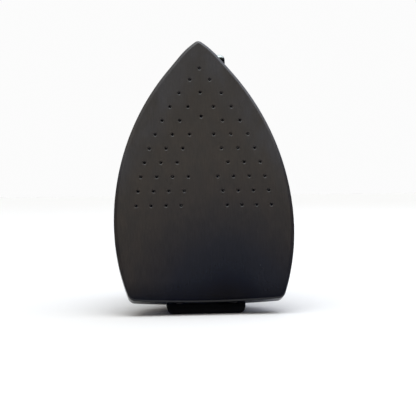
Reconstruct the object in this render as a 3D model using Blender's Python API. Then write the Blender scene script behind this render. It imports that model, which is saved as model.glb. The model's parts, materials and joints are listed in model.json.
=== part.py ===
# Industrial steam iron of the gravity-feed kind, standing on its heel.
# Every piece is modelled as if the iron lay on its sole: X across, toe towards -Y, Z up from the sole face.
# The empty named stand then tips the whole iron onto its heel: toe up, sole towards -Y.
# Outlines are given as (across, along), where along runs from the sole's rear edge towards the toe,
# and side profiles as (along, height).

import math

import bmesh
import bpy
from mathutils import Vector

for old in list(bpy.data.objects):
    bpy.data.objects.remove(old)

MM = 0.001

# Fits shared by all pieces
GAP = 0.3 * MM
OVERRUN = 1.0 * MM
WALL_TAIL = 0.5 * MM
SMOOTH_ANGLE = math.radians(32)

# Pose: how far the sole leans back from upright, and how high its rear edge is above the table
LEAN = math.radians(18)
SOLE_LIFT = 10.0 * MM

# Sole outline: on each side a crowned rear, four arcs, a short straight and the toe
SOLE_LENGTH = 210.6 * MM
SOLE_WIDTH = 136.0 * MM
WIDEST = 61.0 * MM
HEEL_WIDTH = 111.7 * MM
NOSE_END_R = 2.0 * MM
BOW_FROM_TOE = 26.0 * MM
BOW_R = 64.0 * MM
TOE_ROUNDING = 4.0 * MM
HEEL_CORNER = 6.0 * MM
HEEL_CROWN = 1.7 * MM
SMALLEST_CORNER = 1.5 * MM
REAR_STEPS = 3
CORNER_STEPS = 4
FLANK_STEPS = 4
NOSE_STEPS = 10
BOW_STEPS = 4
TOE_STEPS = 3

# Coated shoe and its steam holes
SHOE_FLOOR = 2.6 * MM
SHOE_WALL = 2.0 * MM
SHOE_RIM = 11.0 * MM
SHOE_EDGE = 2.4 * MM
RIM_BREAK = 0.4 * MM
EDGE_STEPS = 3
FIRST_HOLE_ROW = 73.9 * MM
LAST_HOLE_ROW_FROM_TOE = 34.1 * MM
HOLE_SPACING_SHARE = 0.0827
SPACING_GROWTH_SHARE = 0.035
OUTER_HOLES_IN_REAR = 16.4 * MM
OUTER_HOLES_IN_FRONT = 18.6 * MM
SETTLED_ROW = 6
SIDE_HOLES_PER_ROW = (4, 4, 4, 3, 3, 3, 2, 2, 1, 1)
CENTRE_HOLE_ROWS = (6.29, 8.06, 9.84)
HOLE_R = 0.9 * MM
HOLE_SINK_R = 2.0 * MM
HOLE_SINK = 0.5 * MM
HOLE_SIDES = 6

# Soleplate casting
CAST_TOP = 20.0 * MM
CAST_CHAMFER = 3.0 * MM
CAST_CHAMFER_DROP = 2.5 * MM
SPREAD_DEPTH = 1.2 * MM
SPREAD_INSET = 10.0 * MM
SPREAD_BEHIND_ROW = 8.0 * MM
CHAMBER_HALF = 22.0 * MM
CHAMBER_REAR = 60.0 * MM
CHAMBER_PAST_ARC = 18.0 * MM
CHAMBER_FLOOR = 7.0 * MM
CHAMBER_CORNER = 8.0 * MM
PORT_R = 1.75 * MM
PORT_PITCH_ACROSS = 13.0 * MM
PORTS_ACROSS = 3
PORT_ROW_SHARES = (0.303, 0.545, 0.788)
GALLERY_R = 2.0 * MM
GALLERY_HEIGHT = 8.5 * MM
BOSS_R = 7.0 * MM
BOSS_TOP = 29.0 * MM
REAR_BOSS = 27.0 * MM

# Heating element
ELEMENT_R = 3.3 * MM
GROOVE_ROOM = 0.4 * MM
ELEMENT_HALF = 30.0 * MM
ELEMENT_REAR = 46.0 * MM
ELEMENT_BEHIND_BOSS = 3.3 * MM
ELEMENT_BEND = 6.0 * MM
ELEMENT_BELOW_TOP = 4.0 * MM
ELEMENT_END = 37.0 * MM
ELEMENT_ARC_STEPS = 12
ELEMENT_BEND_STEPS = 3

# Chamber gasket, cover and screws
GASKET_THICK = 0.8 * MM
GASKET_BAND = 3.0 * MM
PLATE_THICK = 2.0 * MM
PLATE_BESIDE_GROOVE = 8.3 * MM
PLATE_REAR = 52.0 * MM
PLATE_BEHIND_BOSS = 2.0 * MM
PLATE_NOSE_HALF = 16.0 * MM
PLATE_CORNER = 6.0 * MM
SCREW_R = 1.6 * MM
SCREW_HEAD_R = 3.2 * MM
SCREW_HEAD = 2.2 * MM
SCREW_BITE = 8.0 * MM
SCREW_SIDES = 10
PLATE_SCREW_IN = 4.5 * MM
PLATE_SCREW_REAR_IN = 8.0 * MM
PLATE_SCREW_BEHIND_SHOULDER = 4.0 * MM

# Shoe screws, through the shoe's rear wall
SHOE_SCREW_X = 20.0 * MM
SHOE_SCREW_HEIGHT = 6.8 * MM
SHOE_SCREW_HEAD = 0.9 * MM
SHOE_SCREW_BITE = 9.0 * MM

# Heat shield
SHIELD_THICK = 1.5 * MM
SHIELD_INSET = 15.0 * MM
SHIELD_ROOM = 2.0 * MM
TERMINAL_ROOM = 1.8 * MM

# Base cover
COVER_BOTTOM = 24.0 * MM
COVER_TOP = 50.0 * MM
COVER_REAR = 17.0 * MM
COVER_FRONT_FROM_TOE = 40.6 * MM
COVER_INSET = 9.0 * MM
COVER_WALL = 2.5 * MM
COVER_CORNER = 10.0 * MM
COVER_STEPS = 12
COVER_BOSS_R = 6.5 * MM
COVER_HEIGHT_SHARES = (0.0, 0.34, 0.64, 0.86, 1.0)
COVER_WIDTH_SHARES = (1.0, 0.975, 0.88, 0.76, 0.68)
WIRE_HOLE_R = 4.5 * MM
WIRE_HOLE_BEHIND_INNER = 7.5 * MM

# Studs and nuts that hold the handle and the cover down
STUD_R = 3.0 * MM
STUD_DEPTH = 9.0 * MM
STUD_TAIL = 2.0 * MM
NUT_R = 5.5 * MM
NUT_HEIGHT = 5.0 * MM
NUT_SIDES = 6

# Thermostat, its shaft, the dial and the dial's ring
THERMOSTAT_AHEAD = 2.0 * MM
THERMOSTAT_R = 13.0 * MM
THERMOSTAT_HEIGHT = 10.0 * MM
THERMOSTAT_NECK_R = 7.0 * MM
THERMOSTAT_NECK = 6.0 * MM
SHAFT_R = 3.0 * MM
SHAFT_SEAT = 8.0 * MM
DIAL_RING_R = 28.5 * MM
DIAL_RING_INNER_R = 21.0 * MM
DIAL_RING_THICK = 2.2 * MM
DIAL_R = 25.0 * MM
DIAL_HEIGHT = 9.0 * MM
DIAL_DOME = 1.5 * MM
DIAL_FLUTES = 24
DIAL_FLUTE_DEPTH = 0.9 * MM
DIAL_BORE_ROOF = 3.0 * MM

# Thermal fuse in its clip
FUSE_R = 1.8 * MM
FUSE_LENGTH = 12.0 * MM
FUSE_BESIDE = 15.0 * MM
FUSE_IN = 23.0 * MM
CLIP_THICK = 0.8 * MM
CLIP_LENGTH = 8.0 * MM
CLIP_HEIGHT = 3.6 * MM

# Terminal block
BLOCK_HALF = 20.0 * MM
BLOCK_LENGTH = 12.0 * MM
BLOCK_HEIGHT = 9.0 * MM
BLOCK_POCKETS = 3
BLOCK_POCKET_R = 2.6 * MM
BLOCK_POCKET_DEPTH = 5.0 * MM

# Heel bracket and heel rest
BRACKET_THICK = 2.0 * MM
BRACKET_HALF = 24.0 * MM
BRACKET_LENGTH = 21.5 * MM
BRACKET_TOP = 48.0 * MM
BRACKET_SCREW_X = 17.0 * MM
BRACKET_SCREW_IN = 6.0 * MM
HEEL_HALF = 29.3 * MM
HEEL_TOP = 54.0 * MM
HEEL_ROUNDING = 5.0 * MM
HEEL_BEHIND_RIM = 1.0 * MM
HEEL_BELOW_CASTING = 0.5 * MM
HEEL_SCREW_X = 17.0 * MM
HEEL_SCREW_HEIGHT = 37.0 * MM
HEEL_SCREW_R = 2.0 * MM
HEEL_SCREW_HEAD_R = 3.6 * MM
HEEL_SCREW_HEAD = 2.4 * MM
HEEL_WEB = 6.0 * MM

# Handle, an arch in two shells
HANDLE_HALF = 17.0 * MM
HANDLE_WALL = 3.0 * MM
HANDLE_SIDE_WALL = 4.0 * MM
HANDLE_EDGE = 7.0 * MM
HANDLE_EDGE_STEPS = 3
REAR_POST_LENGTH = 28.5 * MM
POST_SETBACK = 0.5 * MM
FRONT_POST_SHARE = 0.183
FRONT_POST_BEHIND_COVER = 4.0 * MM
GRIP_UNDER = 92.0 * MM
GRIP_DEPTH = 34.0 * MM
GRIP_SHOULDER = 4.5 * MM
FOOT_BELOW_TOP = 20.0 * MM
FOOT_LENGTH = 22.0 * MM
REAR_TOP_RUN = 5.0 * MM
FRONT_LEAN = 5.5 * MM
FRONT_BROW = 22.0 * MM
FRONT_BELLY = 50.0 * MM
FRONT_TOP_RUN = 21.0 * MM
INNER_FRONT_LEAN = 3.5 * MM
INNER_REAR_LEAN = 10.0 * MM
SMALL_BEND = 10.0 * MM
MIDDLE_BEND = 15.0 * MM
INNER_FRONT_BEND = 16.0 * MM
INNER_REAR_BEND = 20.0 * MM
BELLY_BEND = 30.0 * MM
CROWN_BEND = 90.0 * MM
BEND_STEPS = 3
HANDLE_HOLE_SIDES = 14

# Handle screws, one in each post and one in the grip
REAR_SCREW_IN = 12.5 * MM
REAR_SCREW_UP = 26.0 * MM
GRIP_SCREW_SHARE = 0.418
GRIP_SCREW_UP = 16.0 * MM
FRONT_SCREW_IN = 8.0 * MM
FRONT_SCREW_UP = 24.0 * MM
HANDLE_BOSS_R = 4.5 * MM
HANDLE_SCREW_SINK = 3.0 * MM
HANDLE_SCREW_BITE = 9.0 * MM

# Rear foot pad
PAD_THICK = 3.0 * MM
PAD_HALF = 12.0 * MM
PAD_MARGIN = 2.0 * MM

# Steam trigger, its pin and its spring
TRIGGER_HALF = 5.0 * MM
TRIGGER_PIVOT_IN = 1.5 * MM
TRIGGER_PIVOT_UP = 9.0 * MM
TRIGGER_EYE_R = 4.6 * MM
TRIGGER_REACH = 30.0 * MM
TRIGGER_DROP = 6.0 * MM
TRIGGER_BACK = 3.5 * MM
TRIGGER_NUB_ARM = 10.0 * MM
TRIGGER_NUB_HALF = 1.6 * MM
TRIGGER_SPRING_ARM = 20.0 * MM
SLOT_ROOM = 1.0 * MM
SLOT_END_ROOM = 3.0 * MM
PIN_R = 1.5 * MM
PIN_HALF = 9.0 * MM
PIN_BOSS_R = 4.5 * MM
TRIGGER_SPRING_R = 2.0 * MM
TRIGGER_SPRING_WIRE = 0.35 * MM
TRIGGER_SPRING_TURNS = 4

# Microswitch
SWITCH_LENGTH = 20.0 * MM
SWITCH_HEIGHT = 9.0 * MM
SWITCH_HALF = 3.2 * MM
SWITCH_ROOM = 0.4 * MM
SWITCH_AHEAD = 3.5 * MM
BUTTON_R = 1.2 * MM
BUTTON_OUT = 2.4 * MM
BUTTON_IN = 2.2 * MM
BUTTON_TRAVEL = 1.3 * MM

# Pilot lamp and lens
LENS_AHEAD = 6.0 * MM
LENS_R = 4.0 * MM
LENS_FLANGE_R = 5.5 * MM
LENS_FLANGE = 1.2 * MM
LENS_DOME = 1.6 * MM
LENS_BODY = 7.0 * MM
LAMP_R = 2.4 * MM
LAMP_LENGTH = 13.0 * MM
LAMP_SEAT = 4.5 * MM

# Cord gland
GLAND_ALONG = 55.0 * MM
GLAND_R = 6.0 * MM
GLAND_BORE_R = 4.6 * MM
GLAND_FLANGE_R = 9.0 * MM
GLAND_FLANGE = 3.0 * MM
GLAND_SUNK = 6.0 * MM
GLAND_TAIL = 7.0 * MM
GLAND_NECK = 9.0 * MM
GLAND_NUT_R = 9.0 * MM
GLAND_NUT = 7.0 * MM
GLAND_NUT_LIP = 2.5 * MM
GLAND_SIDES = 16

# Steam valve, on the operator's left beside the toe
VALVE_X = 9.5 * MM
VALVE_FROM_TOE = 19.6 * MM
VALVE_BODY_LEFT = 1.6 * MM
VALVE_BODY_RIGHT = 23.0 * MM
VALVE_BODY_AHEAD = 18.3 * MM
VALVE_BODY_BEHIND = 5.5 * MM
VALVE_BODY_LIFT = 2.2 * MM
VALVE_BODY_HEIGHT = 16.0 * MM
VALVE_BODY_CORNER = 4.0 * MM
VALVE_CORNER_STEPS = 3
SEAT_HEIGHT = 5.0 * MM
SEAT_HOLE_R = 1.4 * MM
ADAPTER_R = 3.0 * MM
ADAPTER_BORE_R = 1.5 * MM
ADAPTER_COLLAR_R = 4.4 * MM
ADAPTER_BITE = 3.5 * MM
PLUNGER_R = 3.9 * MM
PLUNGER_LENGTH = 26.0 * MM
PLUNGER_TRAVEL = 2.0 * MM
TUBE_WALL = 0.9 * MM
TUBE_FLANGE_R = 8.0 * MM
TUBE_FLANGE = 2.0 * MM
TUBE_STUD_R = 2.5 * MM
TUBE_TAIL = 7.0 * MM
SPRING_SPACE = 7.0 * MM
PLUNGER_SPRING_WIRE = 0.4 * MM
PLUNGER_SPRING_TURNS = 4
PLUNGER_SPRING_IN = 0.8 * MM
COIL_HALF = 12.5 * MM
COIL_HEIGHT = 22.0 * MM
COIL_CORNER = 4.0 * MM
YOKE_THICK = 1.6 * MM
YOKE_HALF = 10.0 * MM
COIL_NUT_R = 5.0 * MM
COIL_NUT_HEIGHT = 4.0 * MM
TURNED_SIDES = 16
SPRING_POINTS = 8

# Water inlet barb and steam adjuster
BARB_LENGTH = 14.0 * MM
BARB_R = 3.0 * MM
BARB_RIB_R = 3.7 * MM
BARB_BORE_R = 1.7 * MM
BARB_RIBS = 3
BARB_HEX_R = 5.2 * MM
BARB_HEX = 4.0 * MM
BARB_TAIL_R = 2.4 * MM
BARB_TAIL = 3.5 * MM
BARB_X = 18.2 * MM
BARB_TURN = math.radians(30)
ADJUSTER_AHEAD = 9.0 * MM
ADJUSTER_NEEDLE_R = 1.6 * MM
ADJUSTER_NEEDLE = 6.0 * MM
ADJUSTER_KNOB_R = 5.5 * MM
ADJUSTER_KNOB = 7.0 * MM
ADJUSTER_FLUTES = 10
ADJUSTER_FLUTE_DEPTH = 0.6 * MM

# Finishes: colour, roughness, metallic
FINISHES = {
    "coating": ((0.042, 0.038, 0.035), 0.48, 0.0),
    "cast_aluminium": ((0.62, 0.62, 0.63), 0.42, 1.0),
    "sheathed_steel": ((0.30, 0.30, 0.31), 0.45, 1.0),
    "silicone": ((0.45, 0.10, 0.06), 0.70, 0.0),
    "plate_steel": ((0.55, 0.56, 0.58), 0.35, 1.0),
    "screw_steel": ((0.66, 0.66, 0.68), 0.30, 1.0),
    "mica": ((0.52, 0.45, 0.34), 0.60, 0.0),
    "black_plastic": ((0.012, 0.012, 0.013), 0.42, 0.0),
    "heel_plastic": ((0.008, 0.008, 0.009), 0.55, 0.0),
    "rubber": ((0.015, 0.015, 0.015), 0.80, 0.0),
    "ceramic": ((0.80, 0.78, 0.72), 0.50, 0.0),
    "dial_plastic": ((0.020, 0.020, 0.022), 0.38, 0.0),
    "trigger_plastic": ((0.45, 0.03, 0.02), 0.40, 0.0),
    "nickel": ((0.72, 0.71, 0.68), 0.22, 1.0),
    "brass": ((0.72, 0.53, 0.22), 0.30, 1.0),
    "lens": ((0.70, 0.08, 0.03), 0.15, 0.0),
    "lamp_glass": ((0.75, 0.60, 0.45), 0.10, 0.0),
}


def root(value):
    return math.sqrt(value)


def spot(across, along, height):
    # a point of the lying iron
    return Vector((across, -along, height))


def ring(outline, height):
    return [spot(across, along, height) for across, along in outline]


# Places that several pieces share
HALF_WIDTH = SOLE_WIDTH / 2
NOSE_RISE = SOLE_LENGTH - WIDEST - NOSE_END_R
NOSE_R = (HALF_WIDTH ** 2 + NOSE_RISE ** 2 - NOSE_END_R ** 2) / (2 * (HALF_WIDTH - NOSE_END_R))
BOW_ANGLE = math.asin((SOLE_LENGTH - BOW_FROM_TOE - WIDEST) / NOSE_R)
HEEL_NARROWING = HALF_WIDTH - HEEL_WIDTH / 2
FLANK_R = (HEEL_NARROWING ** 2 + WIDEST ** 2) / (2 * HEEL_NARROWING)
CAST_BOTTOM = SHOE_FLOOR + GAP
CAST_INSET = SHOE_WALL + GAP
HOLE_ROW_PITCH = (SOLE_LENGTH - LAST_HOLE_ROW_FROM_TOE - FIRST_HOLE_ROW) / (len(SIDE_HOLES_PER_ROW) - 1)
HOLE_SPACING = SOLE_WIDTH * HOLE_SPACING_SHARE
SHOE_SEAT = SHOE_SCREW_HEAD + GAP + HEEL_CROWN * (2 * SHOE_SCREW_X / HEEL_WIDTH) ** 2
COVER_FRONT = SOLE_LENGTH - COVER_FRONT_FROM_TOE
HANDLE_FRONT = COVER_FRONT - FRONT_POST_BEHIND_COVER
FRONT_POST_LENGTH = (COVER_FRONT - COVER_REAR) * FRONT_POST_SHARE
FRONT_POST_INNER = HANDLE_FRONT - FRONT_POST_LENGTH
REAR_POST_INNER = COVER_REAR + POST_SETBACK + REAR_POST_LENGTH
FRONT_BOSS = HANDLE_FRONT - FRONT_POST_LENGTH / 2
ELEMENT_HEIGHT = CAST_TOP - ELEMENT_BELOW_TOP
GROOVE_HALF = ELEMENT_R + GROOVE_ROOM
ELEMENT_ARC_AT = FRONT_BOSS - BOSS_R - ELEMENT_BEHIND_BOSS - GROOVE_HALF - ELEMENT_HALF
CHAMBER_FRONT = ELEMENT_ARC_AT + CHAMBER_PAST_ARC
PLATE_SHOULDER = ELEMENT_ARC_AT
PLATE_HALF = ELEMENT_HALF + GROOVE_HALF + PLATE_BESIDE_GROOVE
FUSE_X = PLATE_HALF - FUSE_BESIDE
PLATE_FRONT = FRONT_BOSS - BOSS_R - PLATE_BEHIND_BOSS
THERMOSTAT_ALONG = (REAR_POST_INNER + FRONT_POST_INNER) / 2 + THERMOSTAT_AHEAD
GASKET_LOW = CAST_TOP + GAP
PLATE_LOW = GASKET_LOW + GASKET_THICK + GAP
PLATE_TOP = PLATE_LOW + PLATE_THICK
SHIELD_LOW = BOSS_TOP + GAP
SHIELD_TOP = SHIELD_LOW + SHIELD_THICK
POST_BOTTOM = COVER_TOP + GAP
NUT_LOW = POST_BOTTOM + HANDLE_WALL + GAP
BRACKET_LOW = CAST_TOP + GAP
BRACKET_BASE_TOP = BRACKET_LOW + BRACKET_THICK
BRACKET_BACK = COVER_REAR - GAP - BRACKET_THICK
VALVE_ALONG = SOLE_LENGTH - VALVE_FROM_TOE
VALVE_LOW = CAST_TOP + VALVE_BODY_LIFT
VALVE_TOP = VALVE_LOW + VALVE_BODY_HEIGHT
TUBE_OUTER_R = PLUNGER_R + GAP + TUBE_WALL
TUBE_INNER_R = PLUNGER_R + GAP
PLUNGER_LOW = VALVE_LOW + SEAT_HEIGHT + GAP
PLUNGER_TOP = PLUNGER_LOW + PLUNGER_LENGTH
TUBE_LOW = VALVE_TOP + GAP
YOKE_LOW = TUBE_LOW + TUBE_FLANGE + GAP
COIL_LOW = YOKE_LOW + YOKE_THICK + GAP
COIL_TOP = COIL_LOW + COIL_HEIGHT
YOKE_TOP = COIL_TOP + GAP + YOKE_THICK
DIAL_RING_LOW = COVER_TOP + GAP
DIAL_LOW = DIAL_RING_LOW + DIAL_RING_THICK + GAP
DIAL_TOP = DIAL_LOW + DIAL_HEIGHT
THERMOSTAT_LOW = PLATE_TOP + GAP
THERMOSTAT_TOP = THERMOSTAT_LOW + THERMOSTAT_HEIGHT + THERMOSTAT_NECK
WIRES_ALONG = REAR_POST_INNER - WIRE_HOLE_BEHIND_INNER
GRIP_TOP = GRIP_UNDER + GRIP_DEPTH
FOOT_HIGH = GRIP_TOP - FOOT_BELOW_TOP
FOOT_LOW = FOOT_HIGH - FOOT_LENGTH
TRIGGER_PIVOT = (FRONT_POST_INNER - TRIGGER_PIVOT_IN, GRIP_UNDER + TRIGGER_PIVOT_UP)
SWITCH_UNDER = TRIGGER_PIVOT[1] + TRIGGER_EYE_R + SWITCH_ROOM
SWITCH_CENTRE = TRIGGER_PIVOT[0] - TRIGGER_NUB_ARM + SWITCH_AHEAD - SWITCH_LENGTH / 2
SWITCH_REAR = SWITCH_CENTRE - SWITCH_LENGTH / 2
HANDLE_SCREWS = ((COVER_REAR + POST_SETBACK + REAR_SCREW_IN, COVER_TOP + REAR_SCREW_UP),
                 (GLAND_ALONG + (SWITCH_REAR - GLAND_ALONG) * GRIP_SCREW_SHARE, GRIP_UNDER + GRIP_SCREW_UP),
                 (HANDLE_FRONT - FRONT_SCREW_IN, COVER_TOP + FRONT_SCREW_UP))


def floor_along(height):
    # where the table meets a given height above the sole, once the iron stands on its heel
    return (height * math.sin(LEAN) - SOLE_LIFT) / math.cos(LEAN)


def rounded(corners, steps=BEND_STEPS):
    # replaces each corner (a, b, radius) of an outline with an arc
    points = []
    for index, (a, b, radius) in enumerate(corners):
        here = Vector((a, b))
        if radius == 0:
            points.append((a, b))
            continue
        back = Vector(corners[index - 1][:2]) - here
        ahead = Vector(corners[(index + 1) % len(corners)][:2]) - here
        half = back.angle(ahead) / 2
        reach = min(radius / math.tan(half), back.length / 2, ahead.length / 2)
        radius = reach * math.tan(half)
        centre = here + (back.normalized() + ahead.normalized()).normalized() * radius / math.sin(half)
        start = here + back.normalized() * reach - centre
        turn = start.angle_signed(here + ahead.normalized() * reach - centre)
        first = math.atan2(start.y, start.x)
        for step in range(steps + 1):
            angle = first - turn * step / steps
            points.append((centre.x + radius * math.cos(angle), centre.y + radius * math.sin(angle)))
    return points


def box_outline(low_a, high_a, low_b, high_b, radius=0.0, steps=BEND_STEPS):
    corners = ((low_a, low_b), (high_a, low_b), (high_a, high_b), (low_a, high_b))
    return rounded([(a, b, radius) for a, b in corners], steps)


def circle(centre_a, centre_b, radius, sides=TURNED_SIDES):
    turns = [math.tau * side / sides for side in range(sides)]
    return [(centre_a + radius * math.cos(turn), centre_b + radius * math.sin(turn)) for turn in turns]


def inward(points, distance):
    # the outline moved inwards by a wall, corner by corner
    area = sum(a[0] * b[1] - b[0] * a[1] for a, b in zip(points, points[1:] + points[:1]))
    side = 1 if area > 0 else -1
    moved = []
    for index, point in enumerate(points):
        here = Vector(point)
        before = (here - Vector(points[index - 1])).normalized()
        after = (Vector(points[(index + 1) % len(points)]) - here).normalized()
        normal = Vector((-before.y - after.y, before.x + after.x)).normalized() * side
        slant = max(normal.dot(Vector((-before.y, before.x)) * side), 0.5)
        moved.append(tuple(here + normal * distance / slant))
    return moved


def bow_centre():
    # the bow arc ends the straight that leaves the nose arc, and meets the toe's rounding
    outward = Vector((math.cos(BOW_ANGLE), math.sin(BOW_ANGLE)))
    forward = Vector((-outward.y, outward.x))
    base = Vector((HALF_WIDTH - NOSE_R, WIDEST)) + outward * (NOSE_R - BOW_R)
    toe = Vector((0, SOLE_LENGTH - TOE_ROUNDING)) - base
    run = toe.dot(forward) - root((BOW_R - TOE_ROUNDING) ** 2 - toe.dot(outward) ** 2)
    return base + forward * run


def sole_outline(inset=0.0):
    # rear crown, rear corner, flank arc, nose arc, bow arc and toe, first on the right and then mirrored
    corner = max(HEEL_CORNER - inset, SMALLEST_CORNER)
    flank_x = HALF_WIDTH - FLANK_R
    corner_along = inset + HEEL_CROWN + corner
    corner_x = flank_x + root((FLANK_R - inset - corner) ** 2 - (corner_along - WIDEST) ** 2)
    half = [(corner_x * step / REAR_STEPS, inset + HEEL_CROWN * (step / REAR_STEPS) ** 2)
            for step in range(REAR_STEPS)]
    end = math.atan2(corner_along - WIDEST, corner_x - flank_x)
    for step in range(CORNER_STEPS + 1):
        angle = -math.pi / 2 + (end + math.pi / 2) * step / CORNER_STEPS
        half.append((corner_x + corner * math.cos(angle), corner_along + corner * math.sin(angle)))
    for step in range(1, FLANK_STEPS + 1):
        angle = end * (1 - step / FLANK_STEPS)
        reach = FLANK_R - inset
        half.append((flank_x + reach * math.cos(angle), WIDEST + reach * math.sin(angle)))
    for step in range(1, NOSE_STEPS + 1):
        angle = BOW_ANGLE * step / NOSE_STEPS
        reach = NOSE_R - inset
        half.append((HALF_WIDTH - NOSE_R + reach * math.cos(angle), WIDEST + reach * math.sin(angle)))
    bow_x, bow_along = bow_centre()
    toe_along = bow_along + root((BOW_R - inset - TOE_ROUNDING) ** 2 - bow_x ** 2)
    tangent = math.atan2(toe_along - bow_along, -bow_x)
    for step in range(BOW_STEPS + 1):
        angle = BOW_ANGLE + (tangent - BOW_ANGLE) * step / BOW_STEPS
        reach = BOW_R - inset
        half.append((bow_x + reach * math.cos(angle), bow_along + reach * math.sin(angle)))
    for step in range(1, TOE_STEPS + 1):
        angle = tangent + (math.pi / 2 - tangent) * step / TOE_STEPS
        half.append((TOE_ROUNDING * math.cos(angle), toe_along + TOE_ROUNDING * math.sin(angle)))
    half[-1] = (0.0, half[-1][1])
    return half + [(-across, along) for across, along in reversed(half[1:-1])]


def half_width(along, inset):
    # half width of the sole at one distance from the rear, inside an inset
    radius = FLANK_R if along < WIDEST else NOSE_R
    return HALF_WIDTH - radius + root((radius - inset) ** 2 - (along - WIDEST) ** 2)


def body_outline(inset, rear, front, corner, width_share=1.0, steps=COVER_STEPS):
    # follows the sole between two straight ends with rounded corners
    half = []
    for step in range(steps + 1):
        share = (1 - math.cos(math.pi * step / steps)) / 2
        along = rear + (front - rear) * share
        edge = max(min(along - rear, front - along, corner), 0)
        shy = corner - root(corner ** 2 - (corner - edge) ** 2)
        half.append(((half_width(along, inset) - shy) * width_share, along))
    return half + [(-across, along) for across, along in reversed(half)]


def finish(piece, name):
    colour, roughness, metallic = FINISHES[name]
    material = bpy.data.materials.new(piece)
    material.use_nodes = True
    shader = material.node_tree.nodes["Principled BSDF"]
    shader.inputs["Base Color"].default_value = (*colour, 1)
    shader.inputs["Roughness"].default_value = roughness
    shader.inputs["Metallic"].default_value = metallic
    material.diffuse_color = (*colour, 1)
    return material


def add(name, bm, material, at=Vector(), turn=None):
    # makes an object of a bmesh whose points are relative to its own origin
    bmesh.ops.recalc_face_normals(bm, faces=bm.faces)
    mesh = bpy.data.meshes.new(name)
    bm.to_mesh(mesh)
    bm.free()
    item = bpy.data.objects.new(name, mesh)
    bpy.context.collection.objects.link(item)
    item.parent = stand
    item.location = at
    if turn is not None:
        item.rotation_euler = turn.to_track_quat("Z", "Y").to_euler()
    if material is None:
        item.hide_render = True
        item.display_type = "WIRE"
        return item
    mesh.materials.append(finish(name, material))
    mesh.shade_smooth()
    mesh.set_sharp_from_angle(angle=SMOOTH_ANGLE)
    return item


def loft(name, rings, material, at=Vector()):
    # skins rings of equally many points and closes both ends
    bm = bmesh.new()
    loops = [[bm.verts.new(point - at) for point in points] for points in rings]
    for low, high in zip(loops, loops[1:]):
        for index in range(len(low)):
            nearby = (index + 1) % len(low)
            bm.faces.new((low[index], low[nearby], high[nearby], high[index]))
    bm.faces.new(loops[0])
    bm.faces.new(loops[-1])
    return add(name, bm, material, at)


def slab(name, outline, low, high, material, at=Vector()):
    return loft(name, (ring(outline, low), ring(outline, high)), material, at)


def side_slab(name, profile, left, right, material, at=Vector()):
    # a side profile (along, height) stretched across the iron
    rings = [[spot(across, along, height) for along, height in profile] for across in (left, right)]
    return loft(name, rings, material, at)


def turned(name, profile, material, at, turn=None, sides=TURNED_SIDES, closed=False, radius_at=None):
    # turns a profile (radius, height) about its own upright axis
    bm = bmesh.new()
    rings = []
    for radius, height in profile:
        if radius == 0:
            rings.append([bm.verts.new((0, 0, height))])
            continue
        loop = []
        for side in range(sides):
            angle = math.tau * side / sides
            reach = radius_at(radius, side) if radius_at else radius
            loop.append(bm.verts.new((reach * math.cos(angle), reach * math.sin(angle), height)))
        rings.append(loop)
    pairs = list(zip(rings, rings[1:]))
    if closed:
        pairs.append((rings[-1], rings[0]))
    for low, high in pairs:
        if min(len(low), len(high)) == 1 and low[0].co.z == high[0].co.z:
            bm.faces.new(max(low, high, key=len))
            continue
        for side in range(sides):
            after = (side + 1) % sides
            lower = (low[side % len(low)], low[after % len(low)])
            upper = (high[after % len(high)], high[side % len(high)])
            bm.faces.new(dict.fromkeys(lower + upper))
    bmesh.ops.delete(bm, geom=[vertex for vertex in bm.verts if not vertex.link_faces], context="VERTS")
    return add(name, bm, material, at, turn)


def rod(name, at, turn, radius, start, end, material=None, sides=TURNED_SIDES):
    return turned(name, ((0, start), (radius, start), (radius, end), (0, end)), material, at, turn, sides)


def combine(item, operation, others):
    for other in others:
        change = item.modifiers.new(other.name, "BOOLEAN")
        change.object = other
        change.operation = operation
        change.solver = "EXACT"
        other.hide_render = True
        other.display_type = "WIRE"


def cut(item, *others):
    combine(item, "DIFFERENCE", others)


def fuse(item, *others):
    combine(item, "UNION", others)


def drill(item, holes, sides=SCREW_SIDES):
    # one cutter for all the holes; each is a place, a direction and a profile (radius, depth)
    bm = bmesh.new()
    for at, direction, profile in holes:
        turn = direction.to_track_quat("Z", "Y")
        loops = [[bm.verts.new(at + turn @ Vector((a, b, depth))) for a, b in circle(0, 0, radius, sides)]
                 for radius, depth in profile]
        for low, high in zip(loops, loops[1:]):
            for side in range(sides):
                after = (side + 1) % sides
                bm.faces.new((low[side], low[after], high[after], high[side]))
        bm.faces.new(loops[0])
        bm.faces.new(loops[-1])
    cut(item, add(item.name + "_drill", bm, None))


def straight(radius, start, end):
    return (radius, start), (radius, end)


def countersunk(radius, through, head_radius, head_depth):
    # from below the head's seat to above its mouth
    return (radius, -through), (radius, 0), (head_radius, 0), (head_radius, head_depth)


def bevel(item, width, steps, chosen):
    # rounds the edges whose two ends pass a test, in the object's own points
    bm = bmesh.new()
    bm.from_mesh(item.data)
    edges = [edge for edge in bm.edges if chosen(edge.verts[0].co, edge.verts[1].co)]
    bmesh.ops.bevel(bm, geom=edges, offset=width, segments=steps, profile=0.5, affect="EDGES")
    bm.to_mesh(item.data)
    bm.free()
    item.data.shade_smooth()
    item.data.set_sharp_from_angle(angle=SMOOTH_ANGLE)


def tube(name, points, radius, material, at=Vector(), fineness=2):
    # a round tube along points, with closed ends
    data = bpy.data.curves.new(name, "CURVE")
    data.dimensions = "3D"
    data.bevel_depth = radius
    data.bevel_resolution = fineness
    data.resolution_u = 1
    data.render_resolution_u = 0
    data.use_fill_caps = True
    spline = data.splines.new("POLY")
    spline.points.add(len(points) - 1)
    for place, point in zip(spline.points, points):
        place.co = (*(point - at), 1)
    data.materials.append(finish(name, material))
    item = bpy.data.objects.new(name, data)
    bpy.context.collection.objects.link(item)
    item.parent = stand
    item.location = at
    return item


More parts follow.
